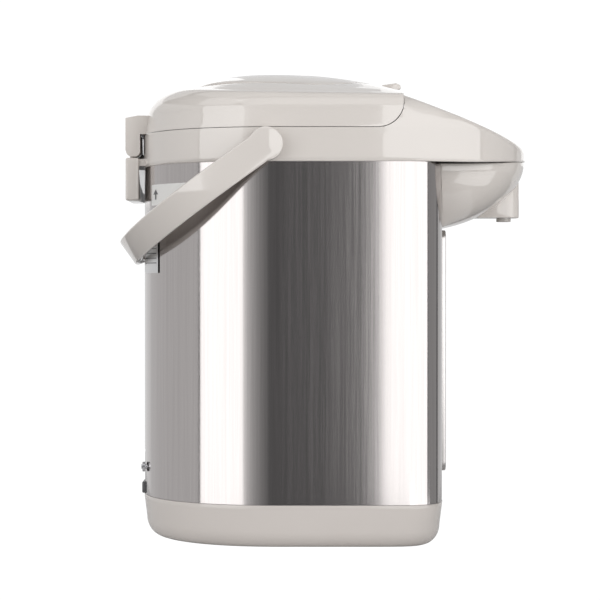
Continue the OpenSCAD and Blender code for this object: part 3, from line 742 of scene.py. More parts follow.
@dataclass(frozen=True)
class UpperForm:
    """The rounded form that the shoulder, the head and the lid share, with the lid's arched top.

    The wall rises with a little draft and rolls inwards. The lid's top is an arch that falls away from its
    summit, and the head is cut by the sloping operation face.
    """

    draft: float = 2.0
    round_in: float = 22.5
    round_up: float = 18.4
    crown_in: float = 10.0
    summit_x: float = -5.0
    arch_h: float = 10.6
    arch_front: float = 76.0
    arch_rear: float = 62.7
    arch_side: float = 69.5
    panel_x: float = 80.6
    panel_z: float = 295.5
    panel_slope: float = 0.38
    panel_flat: float = 60.0
    facet: float = 8.0
    facet_end: float = 113.0
    lift: float = 3.5
    lift_from: float = 110.0
    lift_run: float = 52.0
    arch_end: float = 92.0
    arch_blend: float = 1.6
    spread_cut: float = 0.58
    spread_from: float = 10.0
    spread_run: float = 65.0
    brow: float = 0.0009
    edge: float = 3.2
    facet_from: float = 80.0
    facet_flat: float = 0.55
    face_centre: float = 40.0
    count: int = 288

    def arch(self, x: float, y: float) -> float:
        """Height of the lid's arched top over a place in plan."""
        run = x - self.summit_x
        along = (run / self.arch_front) ** 2 if run > 0 else abs(run / self.arch_rear) ** 3
        share = min(max((x - self.spread_from) / self.spread_run, 0.0), 1.0)
        spread = 1 - self.spread_cut * share**1.5
        z = Z_CROWN + self.arch_h * (1 - along - spread * (y / self.arch_side) ** 2)
        return z if run > 0 else max(z, Z_CROWN - self.brow * y * y)

    def raised(self, x: float, z: float) -> float:
        """Height z after the under-edge of the head has been lifted towards the nose."""
        if x <= self.lift_from:
            return z
        rise = self.lift * ((x - self.lift_from) / self.lift_run) ** 2
        fade = min(max((z - Z_SHOULDER) / 10.0, 0.0), 1.0)
        return z + rise * (1 - fade)

    def _levels(self, t: float) -> list[tuple[float, float]]:
        """(inset, height) up the wall and round to the crown, drawn in by t."""
        low = [(0.9 + t, Z_SHOULDER), (0.35 + t, Z_SHOULDER + 0.25), (t, Z_SHOULDER + 0.9)]
        low += [(t, Z_SHOULDER + 0.9 + (Z_LID - Z_SHOULDER - 0.9) * k / 7) for k in range(1, 8)]
        low += [(t + self.draft * k / 5, Z_LID + (Z_WALL - t - Z_LID) * k / 5) for k in range(1, 6)]
        turn = [math.radians(90 * k / 24) for k in range(1, 25)]
        inset = t + self.draft
        high = [(inset + self.round_in * (1 - math.cos(a)), Z_WALL - t + self.round_up * math.sin(a)) for a in turn]
        rim = inset + self.round_in
        rise = Z_CROWN - Z_RIM
        crown = [(rim + self.crown_in * k / 6, Z_RIM - t + rise * math.sin(math.pi / 12 * k)) for k in range(1, 7)]
        return low + high + crown

    def lid_solid(self, t: float) -> Piece:
        """The whole form under the arch, drawn in by t."""
        turns = _even_turns(self.count)
        rings = []
        for inset, z in self._levels(t):
            ring = []
            for turn in turns:
                x, y = HEAD_PLAN.point(turn, inset)
                over = self.arch(min(x, self.arch_end), y) - t if inset - t > self.draft else 1e3
                ring.append(Vector((x, y, _soft_min(z, over, self.arch_blend))) * MM)
            rings.append(ring)
        edge = [p / MM for p in rings[-1]]
        for share in (0.03, 0.07, 0.12, 0.18, 0.25, 0.33, 0.41, 0.49, 0.57, 0.65, 0.73, 0.81, 0.88, 0.94, 0.98):
            ring = []
            for p in edge:
                x = p.x + (self.summit_x - p.x) * share
                y = p.y * (1 - share)
                ring.append(Vector((x, y, self.arch(min(x, self.arch_end), y) - t)) * MM)
            rings.append(ring)
        return Piece().loft(rings)

    def head_solid(self, t: float) -> Piece:
        """The form cut by the sloping operation face, with its side facets and a rounded edge."""
        columns = []
        for turn in _even_turns(self.count):
            path = []
            for inset, z in self._levels(t):
                x, y = HEAD_PLAN.point(turn, inset)
                path.append(Vector((x, y, self.raised(x, z))))
            columns.append(self._column(path, t))
        rings = [[column[k] * MM for column in columns] for k in range(len(columns[0]))]
        return Piece().loft(rings)

    def face(self, x: float) -> float:
        """Height of the operation face at x, level behind panel_flat."""
        return self.panel_z - self.panel_slope * (max(x, self.panel_flat) - self.panel_x)

    def _column(self, path: Sequence[Vector], t: float) -> list[Vector]:
        """One column of points: up the wall, over the edge and in along the face."""
        cut = next(k for k in range(1, len(path)) if path[k].z > self.face(path[k].x) - t)
        a, b = path[cut - 1], path[cut]
        da, db = self.face(a.x) - t - a.z, self.face(b.x) - t - b.z
        corner = a.lerp(b, da / (da - db))
        below = [*path[:cut], corner]
        lengths = [0.0]
        for p, q in zip(below, below[1:]):
            lengths.append(lengths[-1] + (q - p).length)
        total = lengths[-1]
        taper = min(max((self.facet_end - corner.x) / (self.facet_end - self.facet_from), 0.0), 1.0)
        reach = min(self.edge + (self.facet - self.edge) * taper, total * 0.45)
        wall = [_along(below, lengths, d) for d in (0.0, 0.35, 1.0)]
        wall += [_along(below, lengths, 1.0 + (total - reach - 1.0) * k / 16) for k in range(1, 17)]
        centre = Vector((self.face_centre, 0.0, self.face(self.face_centre) - t))
        inward = Vector((centre.x - corner.x, -corner.y, 0.0)).normalized() * reach
        end = corner + inward
        end.z = self.face(end.x) - t
        bend = []
        for s in (k / 10 for k in range(1, 11)):
            round_over = wall[-1].lerp(corner, s).lerp(corner.lerp(end, s), s)
            bend.append(round_over.lerp(wall[-1].lerp(end, s), self.facet_flat * taper))
        top = []
        for s in (0.05, 0.12, 0.2, 0.3, 0.42, 0.55, 0.7, 0.85, 0.97):
            place = end.lerp(centre, s)
            top.append(Vector((place.x, place.y, self.face(place.x) - t)))
        return wall + bend + top


def _soft_min(a: float, b: float, blend: float) -> float:
    """The smaller of two values, with a rounded change over between them."""
    near = max(blend - abs(a - b), 0.0) / blend
    return min(a, b) - near * near * blend / 4


@cache
def _even_turns(count: int) -> list[float]:
    """Places round the head's plan at even steps of length."""
    steps = 2 * DENSE
    dense = [HEAD_PLAN.point(i / steps, 0) for i in range(steps + 1)]
    return [(k + part) / steps for k, part in even_steps(dense, count)]


def _along(path: Sequence[Vector], lengths: Sequence[float], distance: float) -> Vector:
    """The point at a distance along a path."""
    for k in range(1, len(path)):
        if lengths[k] >= distance - 1e-9:
            part = (distance - lengths[k - 1]) / max(lengths[k] - lengths[k - 1], 1e-9)
            return path[k - 1].lerp(path[k], part)
    return path[-1].copy()


FORM = UpperForm()


@dataclass
class LowerBody(Assembly):
    """The plastic base and the steel wall with its gauge."""

    base_inset: float = 12.0
    shell_step: float = 0.6
    gauge_w: float = 17.0
    gauge_low: float = 44.6
    gauge_high: float = 211.0
    count: int = 288

    def build(self) -> None:
        """Builds the base, the wall and the gauge."""
        self._base()
        self._wall()
        self._gauge()

    def _base(self) -> None:
        """The base moulding: a rounded lower edge and a slightly drafted wall, hollow from below."""
        turn = [math.radians(90 * k / 10) for k in range(11)]
        reach = self.base_inset - 2.2
        outer = [(Z_FOOT + 12.5 * (1 - math.cos(a)), self.base_inset - reach * math.sin(a)) for a in turn]
        outer += [(Z_FOOT + 12.5 + k * 3.1, 2.2 - k * 0.38) for k in range(1, 5)]
        outer += [(Z_SEAM - 0.9, 0.35), (Z_SEAM - 0.35, 0.55), (Z_SEAM - 0.1, 1.1)]
        inner = [(Z_SEAM - 0.1, 3.0), (Z_FOOT + 14, 4.8), (Z_FOOT + 3, self.base_inset + 2)]
        hole = [
            Vector((85 * math.cos(t), 85 * math.sin(t), 0)) * MM
            for t in (2 * math.pi * (i + 0.5) / self.count for i in range(self.count))
        ]
        low = [p + UP * Z_FOOT * MM for p in hole]
        high = [p + UP * (Z_FOOT + WALL) * MM for p in hole]
        rings = [high, low] + [BODY_PLAN.ring(z, inset, self.count) for z, inset in outer + inner] + [high]
        made = Piece().loft(rings, capped=False).mesh("base_moulding")
        self.keep(made, "base_plastic", "base", replaces=["base_housing"])

    def _wall(self) -> None:
        """The steel wall with its openings for the gauge and the inlet."""
        t = self.shell_step
        levels = [(Z_SEAM, t + 0.8), (Z_SEAM, t)] + [(Z_SEAM + (Z_SHOULDER - Z_SEAM) * k / 8, t) for k in range(1, 9)]
        levels += [(Z_SHOULDER, t + 0.8), (Z_SEAM, t + 0.8)]
        rings = [BODY_PLAN.ring(z, inset, self.count) for z, inset in levels]
        wall = Piece().loft(rings, capped=False).mesh("steel_wall")
        wall = carve(wall, Piece().block((95, -7.5, 54.5), (110, 7.5, 203)).mesh("cut"))
        wall = carve(wall, Piece().block((-110, -22.1, 20), (-90, 22.1, 60)).mesh("cut"))
        smooth(wall, 30)
        self.keep(wall, "brushed_shell", "steel", replaces=["outer_shell"])

    def _gauge(self) -> None:
        """The gauge's surround, its window and plain graduation lines."""
        face = Matrix.Translation(Vector((102.5, 0, 0)) * MM) @ Matrix.Rotation(math.pi / 2, 4, "Y")
        rim = soft_rectangle(-self.gauge_high, -self.gauge_low, -self.gauge_w, self.gauge_w, 6)
        surround = Piece().prism(rim, 0, 5.3, face, 0.9, 3, True).mesh("gauge_surround")
        slot = soft_rectangle(-self.gauge_high + 9.9, -self.gauge_low - 9.9, -7.1, 7.1, 3)
        surround = carve(surround, Piece().prism(slot, -1, 8, face).mesh("cut"))
        surround = rounded(surround, 0.4, 60)
        self.keep(surround, "silver_trim", "silver_trim", replaces=["gauge_frame"])
        pane = soft_rectangle(-self.gauge_high + 10.1, -self.gauge_low - 10.1, -6.9, 6.9, 2.8)
        window = Piece().prism(pane, 0.8, 4.3, face, 0.3, 2, True).mesh("gauge_pane")
        self.keep(window, "gauge_clear", "window", replaces=["gauge_window"])
        ticks = Piece()
        for k in range(10):
            z = 60 + k * 15
            long = k % 2 == 0
            ticks.block((107.5, 8.6, z - 0.35), (107.8, 13.6 if long else 11.4, z + 0.35), 0.08, 1)
        self.keep(ticks.mesh("gauge_marks"), "gap_shadow", "dark_plastic")


@dataclass
class Shoulder(Assembly):
    """The shoulder ring and the spout head, one moulding."""

    mouth_x: float = -8.0
    mouth_r: float = 80.5

    def build(self) -> None:
        """Builds the moulding: outer form, lid's space, cavity and mouth."""
        head = FORM.head_solid(0).mesh("shoulder_head")
        head = carve(head, across(lid_side(0)))
        cavity = FORM.head_solid(WALL).mesh("cavity")
        cavity = carve(cavity, across(lid_side(WALL)))
        drop = Matrix.Translation((0, 0, -0.4 * MM))
        cavity.data.transform(drop)
        head = carve(head, cavity)
        floor = Piece().loft(
            [HEAD_PLAN.ring(Z_SHOULDER - 3, WALL, 144), HEAD_PLAN.ring(Z_SHOULDER + 1, WALL, 144)]
        ).mesh("floor")
        head = carve(head, floor)
        mouth = Piece().turned([(self.mouth_r, 240), (self.mouth_r, 300)], Vector((self.mouth_x * MM, 0, 0)), UP, 96)
        head = carve(head, mouth.mesh("mouth"))
        notch = Piece().block((74, -14, Z_LID + 12), (77.5, 14, 330))
        head = carve(head, notch.mesh("notch"))
        head = rounded(head, 0.45, 50)
        self.keep(head, "shell_plastic", "shell", replaces=["shoulder_cover"])


@dataclass
class Lid(Assembly):
    """The lid cover, its lever and the pump plate in its crown."""

    lever_w: float = 14.0
    front: float = LID_FRONT

    def build(self) -> None:
        """Builds the cover, the pump plate and the lever."""
        self._cover()
        self._plate()
        self._lever()

    def _cover(self) -> None:
        """The cover: the shared form in the lid's space, hollow below, open for the plate and the lever."""
        cover = FORM.lid_solid(0).mesh("lid_shell")
        cover = carve(cover, across(lid_side(-LID_GAP)), "INTERSECT")
        hollow = FORM.lid_solid(WALL).mesh("hollow")
        side = lid_side(-LID_GAP - WALL)
        low = [(-300.0, 200.0), (50.0, 200.0), (50.0, Z_LID + 2.9)] + side[1:]
        hollow = carve(hollow, across(low), "INTERSECT")
        cover = carve(cover, hollow)
        lug = Piece().block((self.front - 15.6, -18.4, Z_CROWN - 8), (self.front - 5.8, 18.4, Z_CROWN - 1.2))
        cover = carve(cover, lug.mesh("lug"), "UNION")
        shelf = Piece().block((self.front - 9.8, -18, Z_CROWN - 8), (self.front - 2, 18, Z_CROWN - 4.2))
        cover = carve(cover, shelf.mesh("shelf"), "UNION")
        opening = [self._plate_ring(z, -LID_GAP) for z in (Z_RIM - 10, Z_RIM + 30)]
        cover = carve(cover, Piece().loft(opening).mesh("opening"))
        recess = Piece().block(
            (self.front - 13.9, -self.lever_w - 0.4, Z_CROWN - 5.2), (self.front + 1, self.lever_w + 0.4, 330)
        )
        cover = carve(cover, recess.mesh("recess"))
        window = Piece().block((self.front - 6, -12.4, Z_LID + 13), (self.front + 1, 12.4, Z_LID + 17))
        cover = carve(cover, window.mesh("window"))
        notch = Piece().block((-110, -30.1, 270), (-94.4, 30.1, 289.1))
        cover = carve(cover, notch.mesh("notch"))
        cover = rounded(cover, 0.45, 50)
        self.keep(cover, "shell_plastic", "shell", Body.LID, ["lid_cover"])

    @staticmethod
    def _plate_ring(z: float, inset: float) -> list[Vector]:
        """Plan of the pump plate at a height, drawn in all round."""
        return PLATE_PLAN.ring(z, inset, 240)

    def _plate(self) -> None:
        """The pump plate: the middle of the arched top, hollow below, with a boss for the bellows."""
        outer = FORM.lid_solid(0).mesh("pump_dome")
        rings = [self._plate_ring(z, inset) for z, inset in ((Z_RIM - 7, 1.0), (Z_RIM - 6.6, 0.6), (340, 0.6))]
        dome = carve(outer, Piece().loft(rings).mesh("plan"), "INTERSECT")
        hollow = FORM.lid_solid(2.0).mesh("hollow")
        inner = [self._plate_ring(z, 2.6) for z in (200, 340)]
        hollow = carve(hollow, Piece().loft(inner).mesh("plan"), "INTERSECT")
        dome = carve(dome, hollow)
        boss = Piece().turned([(24, 304), (24, 316.5)], Vector((-8 * MM, 0, 0)), UP, 64).mesh("boss")
        dome = carve(dome, boss, "UNION")
        dome = rounded(dome, 0.4, 50)
        self.keep(dome, "shell_plastic", "shell", Body.PUMP_PLATE, ["pump_plate"])

    def _lever(self) -> None:
        """The lid lever: a flat tab with a lifted nose."""
        f, c = self.front, Z_CROWN
        side = [(f - 12.1, c - 3.6), (f - 3, c - 3.6), (f - 1.6, c - 0.4), (f + 1.8, c + 0.8), (f + 1.4, c + 3.2),
                (f - 1.4, c + 4.7), (f - 11.0, c + 3.3), (f - 12.1, c + 2.2)]
        made = Piece().prism(side, -self.lever_w, self.lever_w, SIDE_VIEW).mesh("lid_lever_tab")
        made = rounded(made, 0.7, 20, 3)
        self.keep(made, "shell_plastic", "shell", Body.LEVER, ["lid_lever"])


@dataclass
class Spout(Assembly):
    """The rounded cover under the head, with the nozzle and its outlet."""

    depth: float = 41.0
    reach: float = 60.7
    half_w: float = 80.0
    nozzle_front: float = 159.2
    nozzle_w: float = 15.0
    nozzle_low: float = 219.6
    outlet_x: float = 149.0
    seam: float = 0.25

    def build(self) -> None:
        """Builds the cover, the nozzle block and the tip."""
        cover = self._bowl().mesh("spout_bowl")
        body = Piece().loft([BODY_PLAN.ring(z, 0.5, 144) for z in (100, 300)]).mesh("cut")
        cover = carve(cover, body)
        hole = Piece().prism(self._nozzle_plan(0.1), self.nozzle_low - 6, 300, Matrix.Identity(4)).mesh("cut")
        cover = carve(cover, hole)
        cover = rounded(cover, 0.35, 55)
        self.keep(cover, "shell_plastic", "shell", replaces=["spout_cover"])
        nozzle = Piece().prism(
            self._nozzle_plan(0), self.nozzle_low, self.nozzle_low + 26, Matrix.Identity(4), 0.9, 3, True
        ).mesh("nozzle")
        bore = Piece().turned([(5.15, 210), (5.15, 240)], Vector((self.outlet_x * MM, 0, 0)), UP, 64).mesh("cut")
        nozzle = carve(nozzle, bore)
        nozzle = rounded(nozzle, 0.3, 60)
        self.keep(nozzle, "shell_plastic", "shell", replaces=["nozzle_block"])
        tip = [(4.45, 225.0), (4.45, 217.6), (4.6, 217.15), (4.9, 217.1), (5.05, 217.5), (5.05, 225.0), (4.45, 225.0)]
        made = Piece().turned(tip, Vector((self.outlet_x * MM, 0, 0)), UP, 64).mesh("outlet_nose")
        self.keep(made, "button_plastic", "button", replaces=["outlet_tip"])

    def _bowl(self) -> Piece:
        """The cover as a solid, whose top follows the head's lower edge."""
        top = Z_SHOULDER - self.seam
        rings = []
        for u in [0, 0.012] + [math.sin(math.radians(90 * k / 22)) for k in range(1, 22)]:
            z = top - self.depth * u
            a = self.reach * (1 - u**1.7) ** 0.62
            b = self.half_w * math.sqrt(1 - 0.62 * u * u)
            ease = 0.2 if u == 0 else 0.0
            ring = Outline(101.5, 8, 8, 101.5, a - ease, 2.5, b - ease).ring(z, 0, 200)
            rise = (1 - u) ** 3
            for p in ring:
                p.z += (FORM.raised(p.x / MM, Z_SHOULDER) - Z_SHOULDER) * rise * MM
            rings.append(ring)
        return Piece().loft(list(reversed(rings)))

    def _nozzle_plan(self, grow: float) -> list[tuple[float, float]]:
        """Plan of the nozzle block with its round front corners."""
        x, w = self.nozzle_front + grow, self.nozzle_w + grow
        back = self.nozzle_front - 30
        return [(back, -w)] + arc(x - 10, -w + 10, 10, -90, 0, 12) + arc(x - 10, w - 10, 10, 0, 90, 12) + [(back, w)]


@dataclass
class RearHinge(Assembly):
    """The two hinge blocks behind the lid."""

    half_w: float = 30.0
    back: float = -112.4
    pin_x: float = -108.0
    pin_z: float = 265.1

    def build(self) -> None:
        """Builds the pot's block and the lid's block."""
        low = [(self.back, 231.0), (-103.3, 231.0), (-103.3, 260.2), (self.back, 260.2)]
        bracket = Piece().prism(low, -self.half_w, self.half_w, SIDE_VIEW).mesh("hinge_foot")
        bracket = rounded(bracket, 1.2, 40, 4)
        web = Piece().block((-105.5, -28, 254.7), (-97, 28, 259.4)).mesh("web")
        bracket = carve(bracket, web, "UNION")
        tongue = [(self.pin_x - 2.6, 259.2), (self.pin_x + 2.6, 259.2)] + arc(self.pin_x, self.pin_z, 3.7, -45, 225, 24)
        bracket = carve(bracket, Piece().prism(tongue, -12, 12, SIDE_VIEW).mesh("tongue"), "UNION")
        smooth(bracket, 35)
        self.keep(bracket, "shell_plastic", "shell", replaces=["hinge_bracket"])
        r, top = 4.1, 289.0
        side = arc(self.pin_x, self.pin_z, r, 180, 270, 10) + [(-105.0, 261.0), (-103.3, 262.2), (-102.5, 264.0)]
        side += [(-102.5, 276.3), (-94.5, 276.3)]
        side += [(-94.5, top), (-104.0, top), (self.back, top - 1.6), (self.back, self.pin_z)]
        block = Piece().prism(side, -self.half_w, self.half_w, SIDE_VIEW).mesh("hinge_head")
        block = rounded(block, 1.0, 40, 4)
        pocket = Piece().block((-116, -12.4, 255), (self.pin_x + 5.4, 12.4, self.pin_z + 4.7)).mesh("cut")
        block = carve(block, pocket)
        smooth(block, 35)
        self.keep(block, "shell_plastic", "shell", Body.LID, ["lid_hinge_block"])


@dataclass
class BailHandle(Assembly):
    """The swinging handle with its two round ends."""

    pivot: tuple[float, float] = (-15.0, 264.7)
    drop: float = 35.7
    length: float = 120.0
    inner_w: float = 107.0
    thick: float = 5.5
    width: float = 19.5
    boss_r: float = 11.0
    arm: float = 30.0
    power: float = 2.1

    def build(self) -> None:
        """Builds the strap and its round ends as one piece."""
        frame = Matrix.Translation(Vector((self.pivot[0], 0, self.pivot[1])) * MM) @ Matrix.Rotation(
            math.radians(180 - self.drop), 4, "Y"
        )
        strap = Piece().loft([[frame @ p for p in ring] for ring in self._rings()]).mesh("handle_strap")
        for side in (-1, 1):
            centre = Vector((self.pivot[0], 0, self.pivot[1])) * MM
            profile = [(0.01, 105), (self.boss_r - 0.8, 105), (self.boss_r, 105.8), (self.boss_r, 111.6),
                       (self.boss_r - 0.25, 112.2), (self.boss_r - 0.9, 112.5), (0.01, 112.5)]
            disc = Piece().turned(profile, centre, SIDE * side, 96).mesh("disc")
            strap = carve(strap, disc, "UNION")
        smooth(strap, 40)
        self.keep(strap, "shell_plastic", "shell", Body.HANDLE, ["handle"])

    def _rings(self) -> list[list[Vector]]:
        """Sections along the strap, from one round end to the other."""
        mid = self.inner_w + self.thick / 2
        reach = self.length - self.arm - self.thick / 2
        straight = [self.arm * k / 3 for k in range(4)]
        track = [(u, -mid) for u in straight]
        for k in range(1, 96):
            t = math.radians(-90 + 180 * k / 96)
            u, v = (signed_power(f(t), 2 / self.power) for f in (math.cos, math.sin))
            track.append((self.arm + reach * u, mid * v))
        track += [(u, mid) for u in reversed(straight)]
        section = soft_rectangle(-self.width / 2, self.width / 2, -self.thick / 2, self.thick / 2, 1.3, 4)
        rings = []
        for i, (x, y) in enumerate(track):
            x0, y0 = track[max(i - 1, 0)]
            x1, y1 = track[min(i + 1, len(track) - 1)]
            along = Vector((x1 - x0, y1 - y0, 0)).normalized()
            out = Vector((along.y, -along.x, 0))
            rings.append([(Vector((x, y, 0)) + out * v + UP * w) * MM for w, v in section])
        return rings


@dataclass
class Controls(Assembly):
    """The operation sheet on the sloping face, with its display and buttons."""

    tilt: float = 20.8
    corner: tuple[float, float] = (80.6, 295.8)

    def build(self) -> None:
        """Builds the sheet, the display and the three buttons."""
        frame = Matrix.Translation(Vector((self.corner[0], 0, self.corner[1])) * MM) @ Matrix.Rotation(
            math.radians(self.tilt), 4, "Y"
        )
        sheet = Piece().prism(soft_rectangle(6, 52, -44, 44, 8), -1, 0.6, frame, 0.3, 2, True).mesh("operation_sheet")
        for u, v, r in ((38, 0, 11.4), (16, -26, 6.4), (16, 26, 6.4)):
            ring = arc(u, v, r, 0, 354, 59)
            sheet = carve(sheet, Piece().prism(ring, -3, 3, frame).mesh("cut"))
        smooth(sheet, 35)
        self.keep(sheet, "panel_sheet", "panel", replaces=["control_panel"])
        pane = Piece().prism(soft_rectangle(10, 22, -12, 12, 1.2), -2, 0.75, frame, 0.2, 2, True).mesh("display_pane")
        self.keep(pane, "display_face", "display", replaces=["display_window"])
        specs = ((38, 0, 11, Body.DISPENSE), (16, -26, 6, Body.UNLOCK), (16, 26, 6, Body.REBOIL))
        for u, v, r, body in specs:
            centre = frame @ (Vector((u, v, 0)) * MM)
            profile = [(r + 1.6, -8), (r + 1.6, -6.4), (r, -6.4), (r, 0.7), (r - 0.15, 1.05), (r - 0.6, 1.2)]
            profile += [(r * s, 1.2 - 0.5 * (1 - s * s)) for s in (0.85, 0.65, 0.45, 0.25, 0.08)]
            normal = frame.to_3x3() @ UP
            made = Piece().turned(profile, centre, normal, 72).mesh(f"{body.value}_cap")
            self.keep(made, "button_plastic", "button", body, [body.value])


@dataclass
class PowerInlet(Assembly):
    """The socket at the lower rear."""

    def build(self) -> None:
        """Builds the socket with its lip and recess."""
        outline = soft_rectangle(-22, 22, 29.95, 59.8, 3)
        face = Matrix.Rotation(math.pi / 2, 4, "Z") @ Matrix.Rotation(math.pi / 2, 4, "X")
        socket = Piece().prism(outline, -99.6, -87.6, face, 0.6, 3, True).mesh("inlet_housing")
        lip = Piece().block((-101.7, -22, 30), (-97.6, 22, 37.8), 0.9, 3).mesh("lip")
        socket = carve(socket, lip, "UNION")
        recess = Piece().prism(soft_rectangle(-14, 14, 41, 55.8, 2.5), -110, -91.6, face).mesh("recess")
        socket = carve(socket, recess)
        smooth(socket, 35)
        self.keep(socket, "dark_moulding", "dark_plastic", replaces=["inlet_socket"])


@dataclass
class RearLabels(Assembly):
    """The bare labels on the steel wall, behind the handle."""

    thick: float = 0.12
    steps: int = 24

    def build(self) -> None:
        """Builds the white label with its arrow and the plain plate with ruled lines."""
        label = self._patch(-93.2, -66.0, lambda x: 226.6, lambda x: 240.6, 1).mesh("white_label")
        smooth(label, 30)
        self.keep(label, "label_paper", "shell")
        shaft = self._patch(-90.5, -89.5, lambda x: 230.6, lambda x: 234.4, 2)
        arrow = self._patch(-91.7, -88.3, lambda x: 234.0, lambda x: 237.4 - 1.9 * abs(x + 90), 2, shaft)
        self.keep(arrow.mesh("label_arrow"), "dark_moulding", "dark_plastic")
        plate = self._patch(-99.4, -88.3, lambda x: 181.2, lambda x: 205.0, 1).mesh("plain_plate")
        smooth(plate, 30)
        self.keep(plate, "rating_plate", "steel")
        rules = Piece()
        for k in range(5):
            self._patch(-98.6, -89.6, lambda x, z=200.5 - 3.2 * k: z, lambda x, z=201.1 - 3.2 * k: z, 2, rules)
        self.keep(rules.mesh("plate_rules"), "dark_moulding", "dark_plastic")

    def _patch(
        self, x0: float, x1: float, low: Callable[[float], float], high: Callable[[float], float],
        layer: int, piece: "Piece | None" = None,
    ) -> "Piece":
        """A thin patch that lies on the near side of the steel wall.

        Args:
            x0: Its rear end in X.
            x1: Its front end.
            low: Its lower edge over X.
            high: Its upper edge over X.
            layer: How many layers up from the wall it lies.
            piece: The piece to add to, or none for a new one.

        Returns:
            The piece.
        """
        piece = piece or Piece()
        rings = []
        for k in range(self.steps + 1):
            x = x0 + (x1 - x0) * k / self.steps
            ring = []
            for lift, edge in ((layer - 1, low), (layer, low), (layer, high), (layer - 1, high)):
                a = BODY_PLAN.rear_a + lift * self.thick
                b = BODY_PLAN.half_w + lift * self.thick
                power = BODY_PLAN.rear_n
                y = -b * (1 - (abs(x - BODY_PLAN.rear_x) / a) ** power) ** (1 / power)
                ring.append(Vector((x, y, edge(x))) * MM)
            rings.append(ring)
        return piece.loft(rings)


class Interior(Assembly):
    """The solids that stay as they are, each with its finish."""

    SPRUNG = ("bellows", "pump_spring")
    SPRUNG_FOOT = 0.2788
    SPRUNG_KEEP = 0.5
    TABLE = {
        "dark_moulding": ("bottom_plate", "turntable"),
        "foot_rubber": ("rubber_ring",),
        "gauge_clear": ("gauge_tube",),
        "board_green": ("control_board", "power_board"),
        "silicone": ("outlet_pipe", "lower_elbow", "suction_hose", "container_seal", "lid_gasket", "bellows"),
        "pump_moulding": ("pump_housing", "impeller", "lid_liner", "steam_cap"),
        "tank_steel": ("inner_container", "heat_shield", "inner_lid"),
        "heater_wrap": ("band_heater",),
        "contact_brass": ("thermostat", "socket_pins"),
        "button_plastic": ("lid_latch", "pivot_bushes"),
        "plated_steel": (
            "pump_motor", "boil_heater", "container_support", "base_screws", "rear_screws", "hinge_pin",
            "pump_spring", "lever_pin", "handle_pins",
        ),
    }

    def dress(self, nodes: dict[str, bpy.types.Object]) -> None:
        """Gives each remaining node its finish.

        Args:
            nodes: The nodes by name.
        """
        for finish, names in self.TABLE.items():
            for name in names:
                slots = nodes[name].data.materials
                if not slots:
                    slots.append(self.finishes[finish])
                for k in range(len(slots)):
                    slots[k] = self.finishes[finish]
        for name in self.SPRUNG:
            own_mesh(nodes[name])


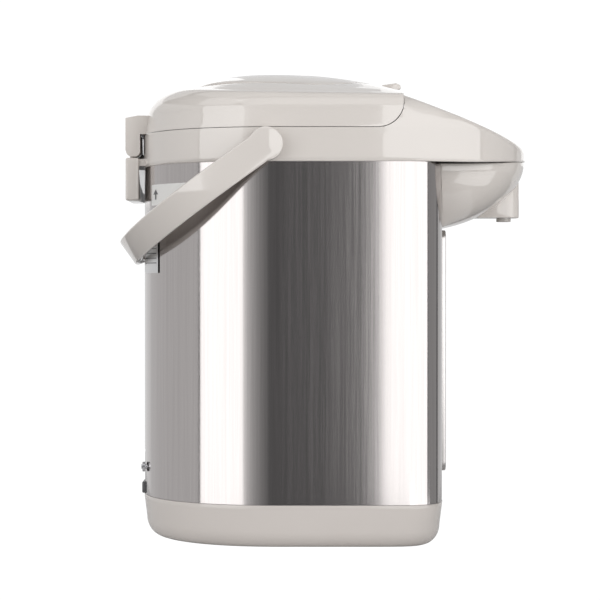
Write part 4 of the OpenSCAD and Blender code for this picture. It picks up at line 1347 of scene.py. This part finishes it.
@dataclass
class Studio:
    """Floor, surround, lights and camera."""

    distance: float = 1.494
    eye: tuple[float, float] = (0.007, 0.1741)
    floor_front: float = -0.2
    floor_half: float = 0.27
    floor_back: float = 0.5
    white: float = 1.05
    lens: float = 128.4
    tilt: float = 0.44
    panel_foot: float = -0.22

    def build(self) -> None:
        """Builds the studio."""
        self._floor()
        self._lights()
        self._camera()
        self._world()

    def _floor(self) -> None:
        """A pale floor from just in front of the view, which the camera sees as plain white."""
        shader = Shader("floor_paper")
        shader.surface_set(Base_Color=(0.8, 0.8, 0.8), Roughness=0.9)
        shader.surface.inputs["Specular IOR Level"].default_value = 0.1
        tree = shader.material.node_tree
        glow = tree.nodes.new("ShaderNodeEmission")
        glow.inputs["Strength"].default_value = self.white
        end = tree.nodes["Material Output"].inputs["Surface"]
        white_to_camera(tree, glow.outputs[0], shader.surface.outputs[0], end)
        sheet = bmesh.new()
        bmesh.ops.create_grid(sheet, x_segments=1, y_segments=1, size=1.0)
        for vert in sheet.verts:
            vert.co = Vector((self.floor_half * vert.co.x, self.floor_front if vert.co.y < 0 else self.floor_back, 0))
        data = bpy.data.meshes.new("floor")
        sheet.to_mesh(data)
        sheet.free()
        floor = bpy.data.objects.new("floor", data)
        bpy.context.scene.collection.objects.link(floor)
        floor.data.materials.append(shader.material)

    def _light(
        self, name: str, size: tuple[float, float], radiance: float, place: Vector, away: Vector
    ) -> None:
        """A rectangular light that the camera doesn't see.

        Args:
            name: The light's name.
            size: Its width and height in metres.
            radiance: Its brightness, where 1 is white paper.
            place: Its centre.
            away: The direction behind it.
        """
        data = bpy.data.lights.new(name, "AREA")
        data.shape = "RECTANGLE"
        data.size, data.size_y = size
        data.energy = radiance * math.pi * size[0] * size[1]
        lamp = bpy.data.objects.new(name, data)
        bpy.context.scene.collection.objects.link(lamp)
        lamp.location = place
        lamp.rotation_euler = away.to_track_quat("Z", "Y").to_euler()
        lamp.visible_camera = False

    def _panel(
        self, name: str, low: float, high: float, z: tuple[float, float], reach: float, radiance: float
    ) -> None:
        """An upright light panel that faces the pot.

        Args:
            name: The light's name.
            low: Azimuth of its first edge from the camera's side, in degrees, positive towards +X.
            high: Azimuth of its other edge.
            z: Its lower and upper edge.
            reach: Distance of its side edges from the pot's axis.
            radiance: Its brightness.
        """
        a, b = (Vector((math.sin(math.radians(t)), -math.cos(math.radians(t)), 0)) * reach for t in (low, high))
        centre = (a + b) / 2
        self._light(name, ((b - a).length, z[1] - z[0]), radiance, centre + UP * sum(z) / 2, centre.normalized())

    def _lights(self) -> None:
        """Upright panels that draw the steel's bands, and soft lights above, behind and low in front."""
        low = self.panel_foot
        self._panel("left_panel", -66, -26, (low, 1.1), 1.9, 2.1)
        for k, glow in enumerate((0.95, 0.6, 0.42, 0.3, 0.2, 0.12)):
            self._panel(f"left_fade_{k}", -26 + 3 * k, -23 + 3 * k, (low, 1.1), 1.9, glow)
        self._panel("left_card", -142, -68, (low, 1.1), 1.9, 0.6)
        self._panel("left_rim", -176, -142, (low, 1.1), 1.9, 0.68)
        self._panel("right_panel", 3.9, 38, (low, 1.3), 2.2, 2.1)
        self._panel("far_right_panel", 38, 70, (low, 1.3), 2.2, 2.1)
        self._panel("right_card", 74, 124, (low, 1.1), 2.2, 0.27)
        self._panel("right_rim", 132, 176, (low, 1.1), 1.9, 0.5)
        high = Vector((0.15, -1.5, 1.75))
        self._light("high_front", (2.4, 1.3), 0.85, high, high)
        high_left = Vector((-1.35, -0.85, 1.7))
        self._light("high_left", (1.3, 1.0), 1.1, high_left, high_left)
        self._light("top_panel", (2.2, 1.6), 0.5, Vector((0, 0.2, 1.9)), UP)
        self._light("back_card", (3.0, 1.9), 0.65, Vector((0, 1.9, 1.22)), Vector((0, 1, 0.35)))
        low_front = Vector((1.0, -0.8, -0.45))
        self._light("low_front", (1.6, 0.7), 1.4, low_front, low_front)

    def _camera(self) -> None:
        """The camera, level with the middle of the pot."""
        data = bpy.data.cameras.new("camera")
        data.lens = self.lens
        data.sensor_width = 36.0
        camera = bpy.data.objects.new("camera", data)
        bpy.context.scene.collection.objects.link(camera)
        camera.location = (self.eye[0], -self.distance, self.eye[1])
        camera.rotation_euler = (math.radians(90 - self.tilt), 0, 0)
        bpy.context.scene.camera = camera

    def _world(self) -> None:
        """A dim surround that the camera sees as plain white."""
        world = bpy.data.worlds.new("surround")
        world.use_nodes = True
        tree = world.node_tree
        dim = tree.nodes["Background"]
        dim.inputs["Color"].default_value = (0.5, 0.5, 0.51, 1)
        dim.inputs["Strength"].default_value = 0.27
        white = tree.nodes.new("ShaderNodeBackground")
        white.inputs["Color"].default_value = (1, 1, 1, 1)
        white.inputs["Strength"].default_value = self.white
        end = tree.nodes["World Output"].inputs["Surface"]
        white_to_camera(tree, white.outputs[0], dim.outputs[0], end)
        bpy.context.scene.world = world
        bpy.context.scene.view_settings.view_transform = "Standard"


def main() -> None:
    """Loads the frame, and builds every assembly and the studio."""
    logging.basicConfig(level=logging.INFO, format="%(message)s")
    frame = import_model()
    Studio().build()
    finishes = Finishes()
    LowerBody(finishes).build()
    Shoulder(finishes).build()
    Lid(finishes).build()
    Spout(finishes).build()
    RearHinge(finishes).build()
    BailHandle(finishes).build()
    Controls(finishes).build()
    PowerInlet(finishes).build()
    RearLabels(finishes).build()
    Interior(finishes).dress(frame["nodes"])


if __name__ == "__main__":
    main()
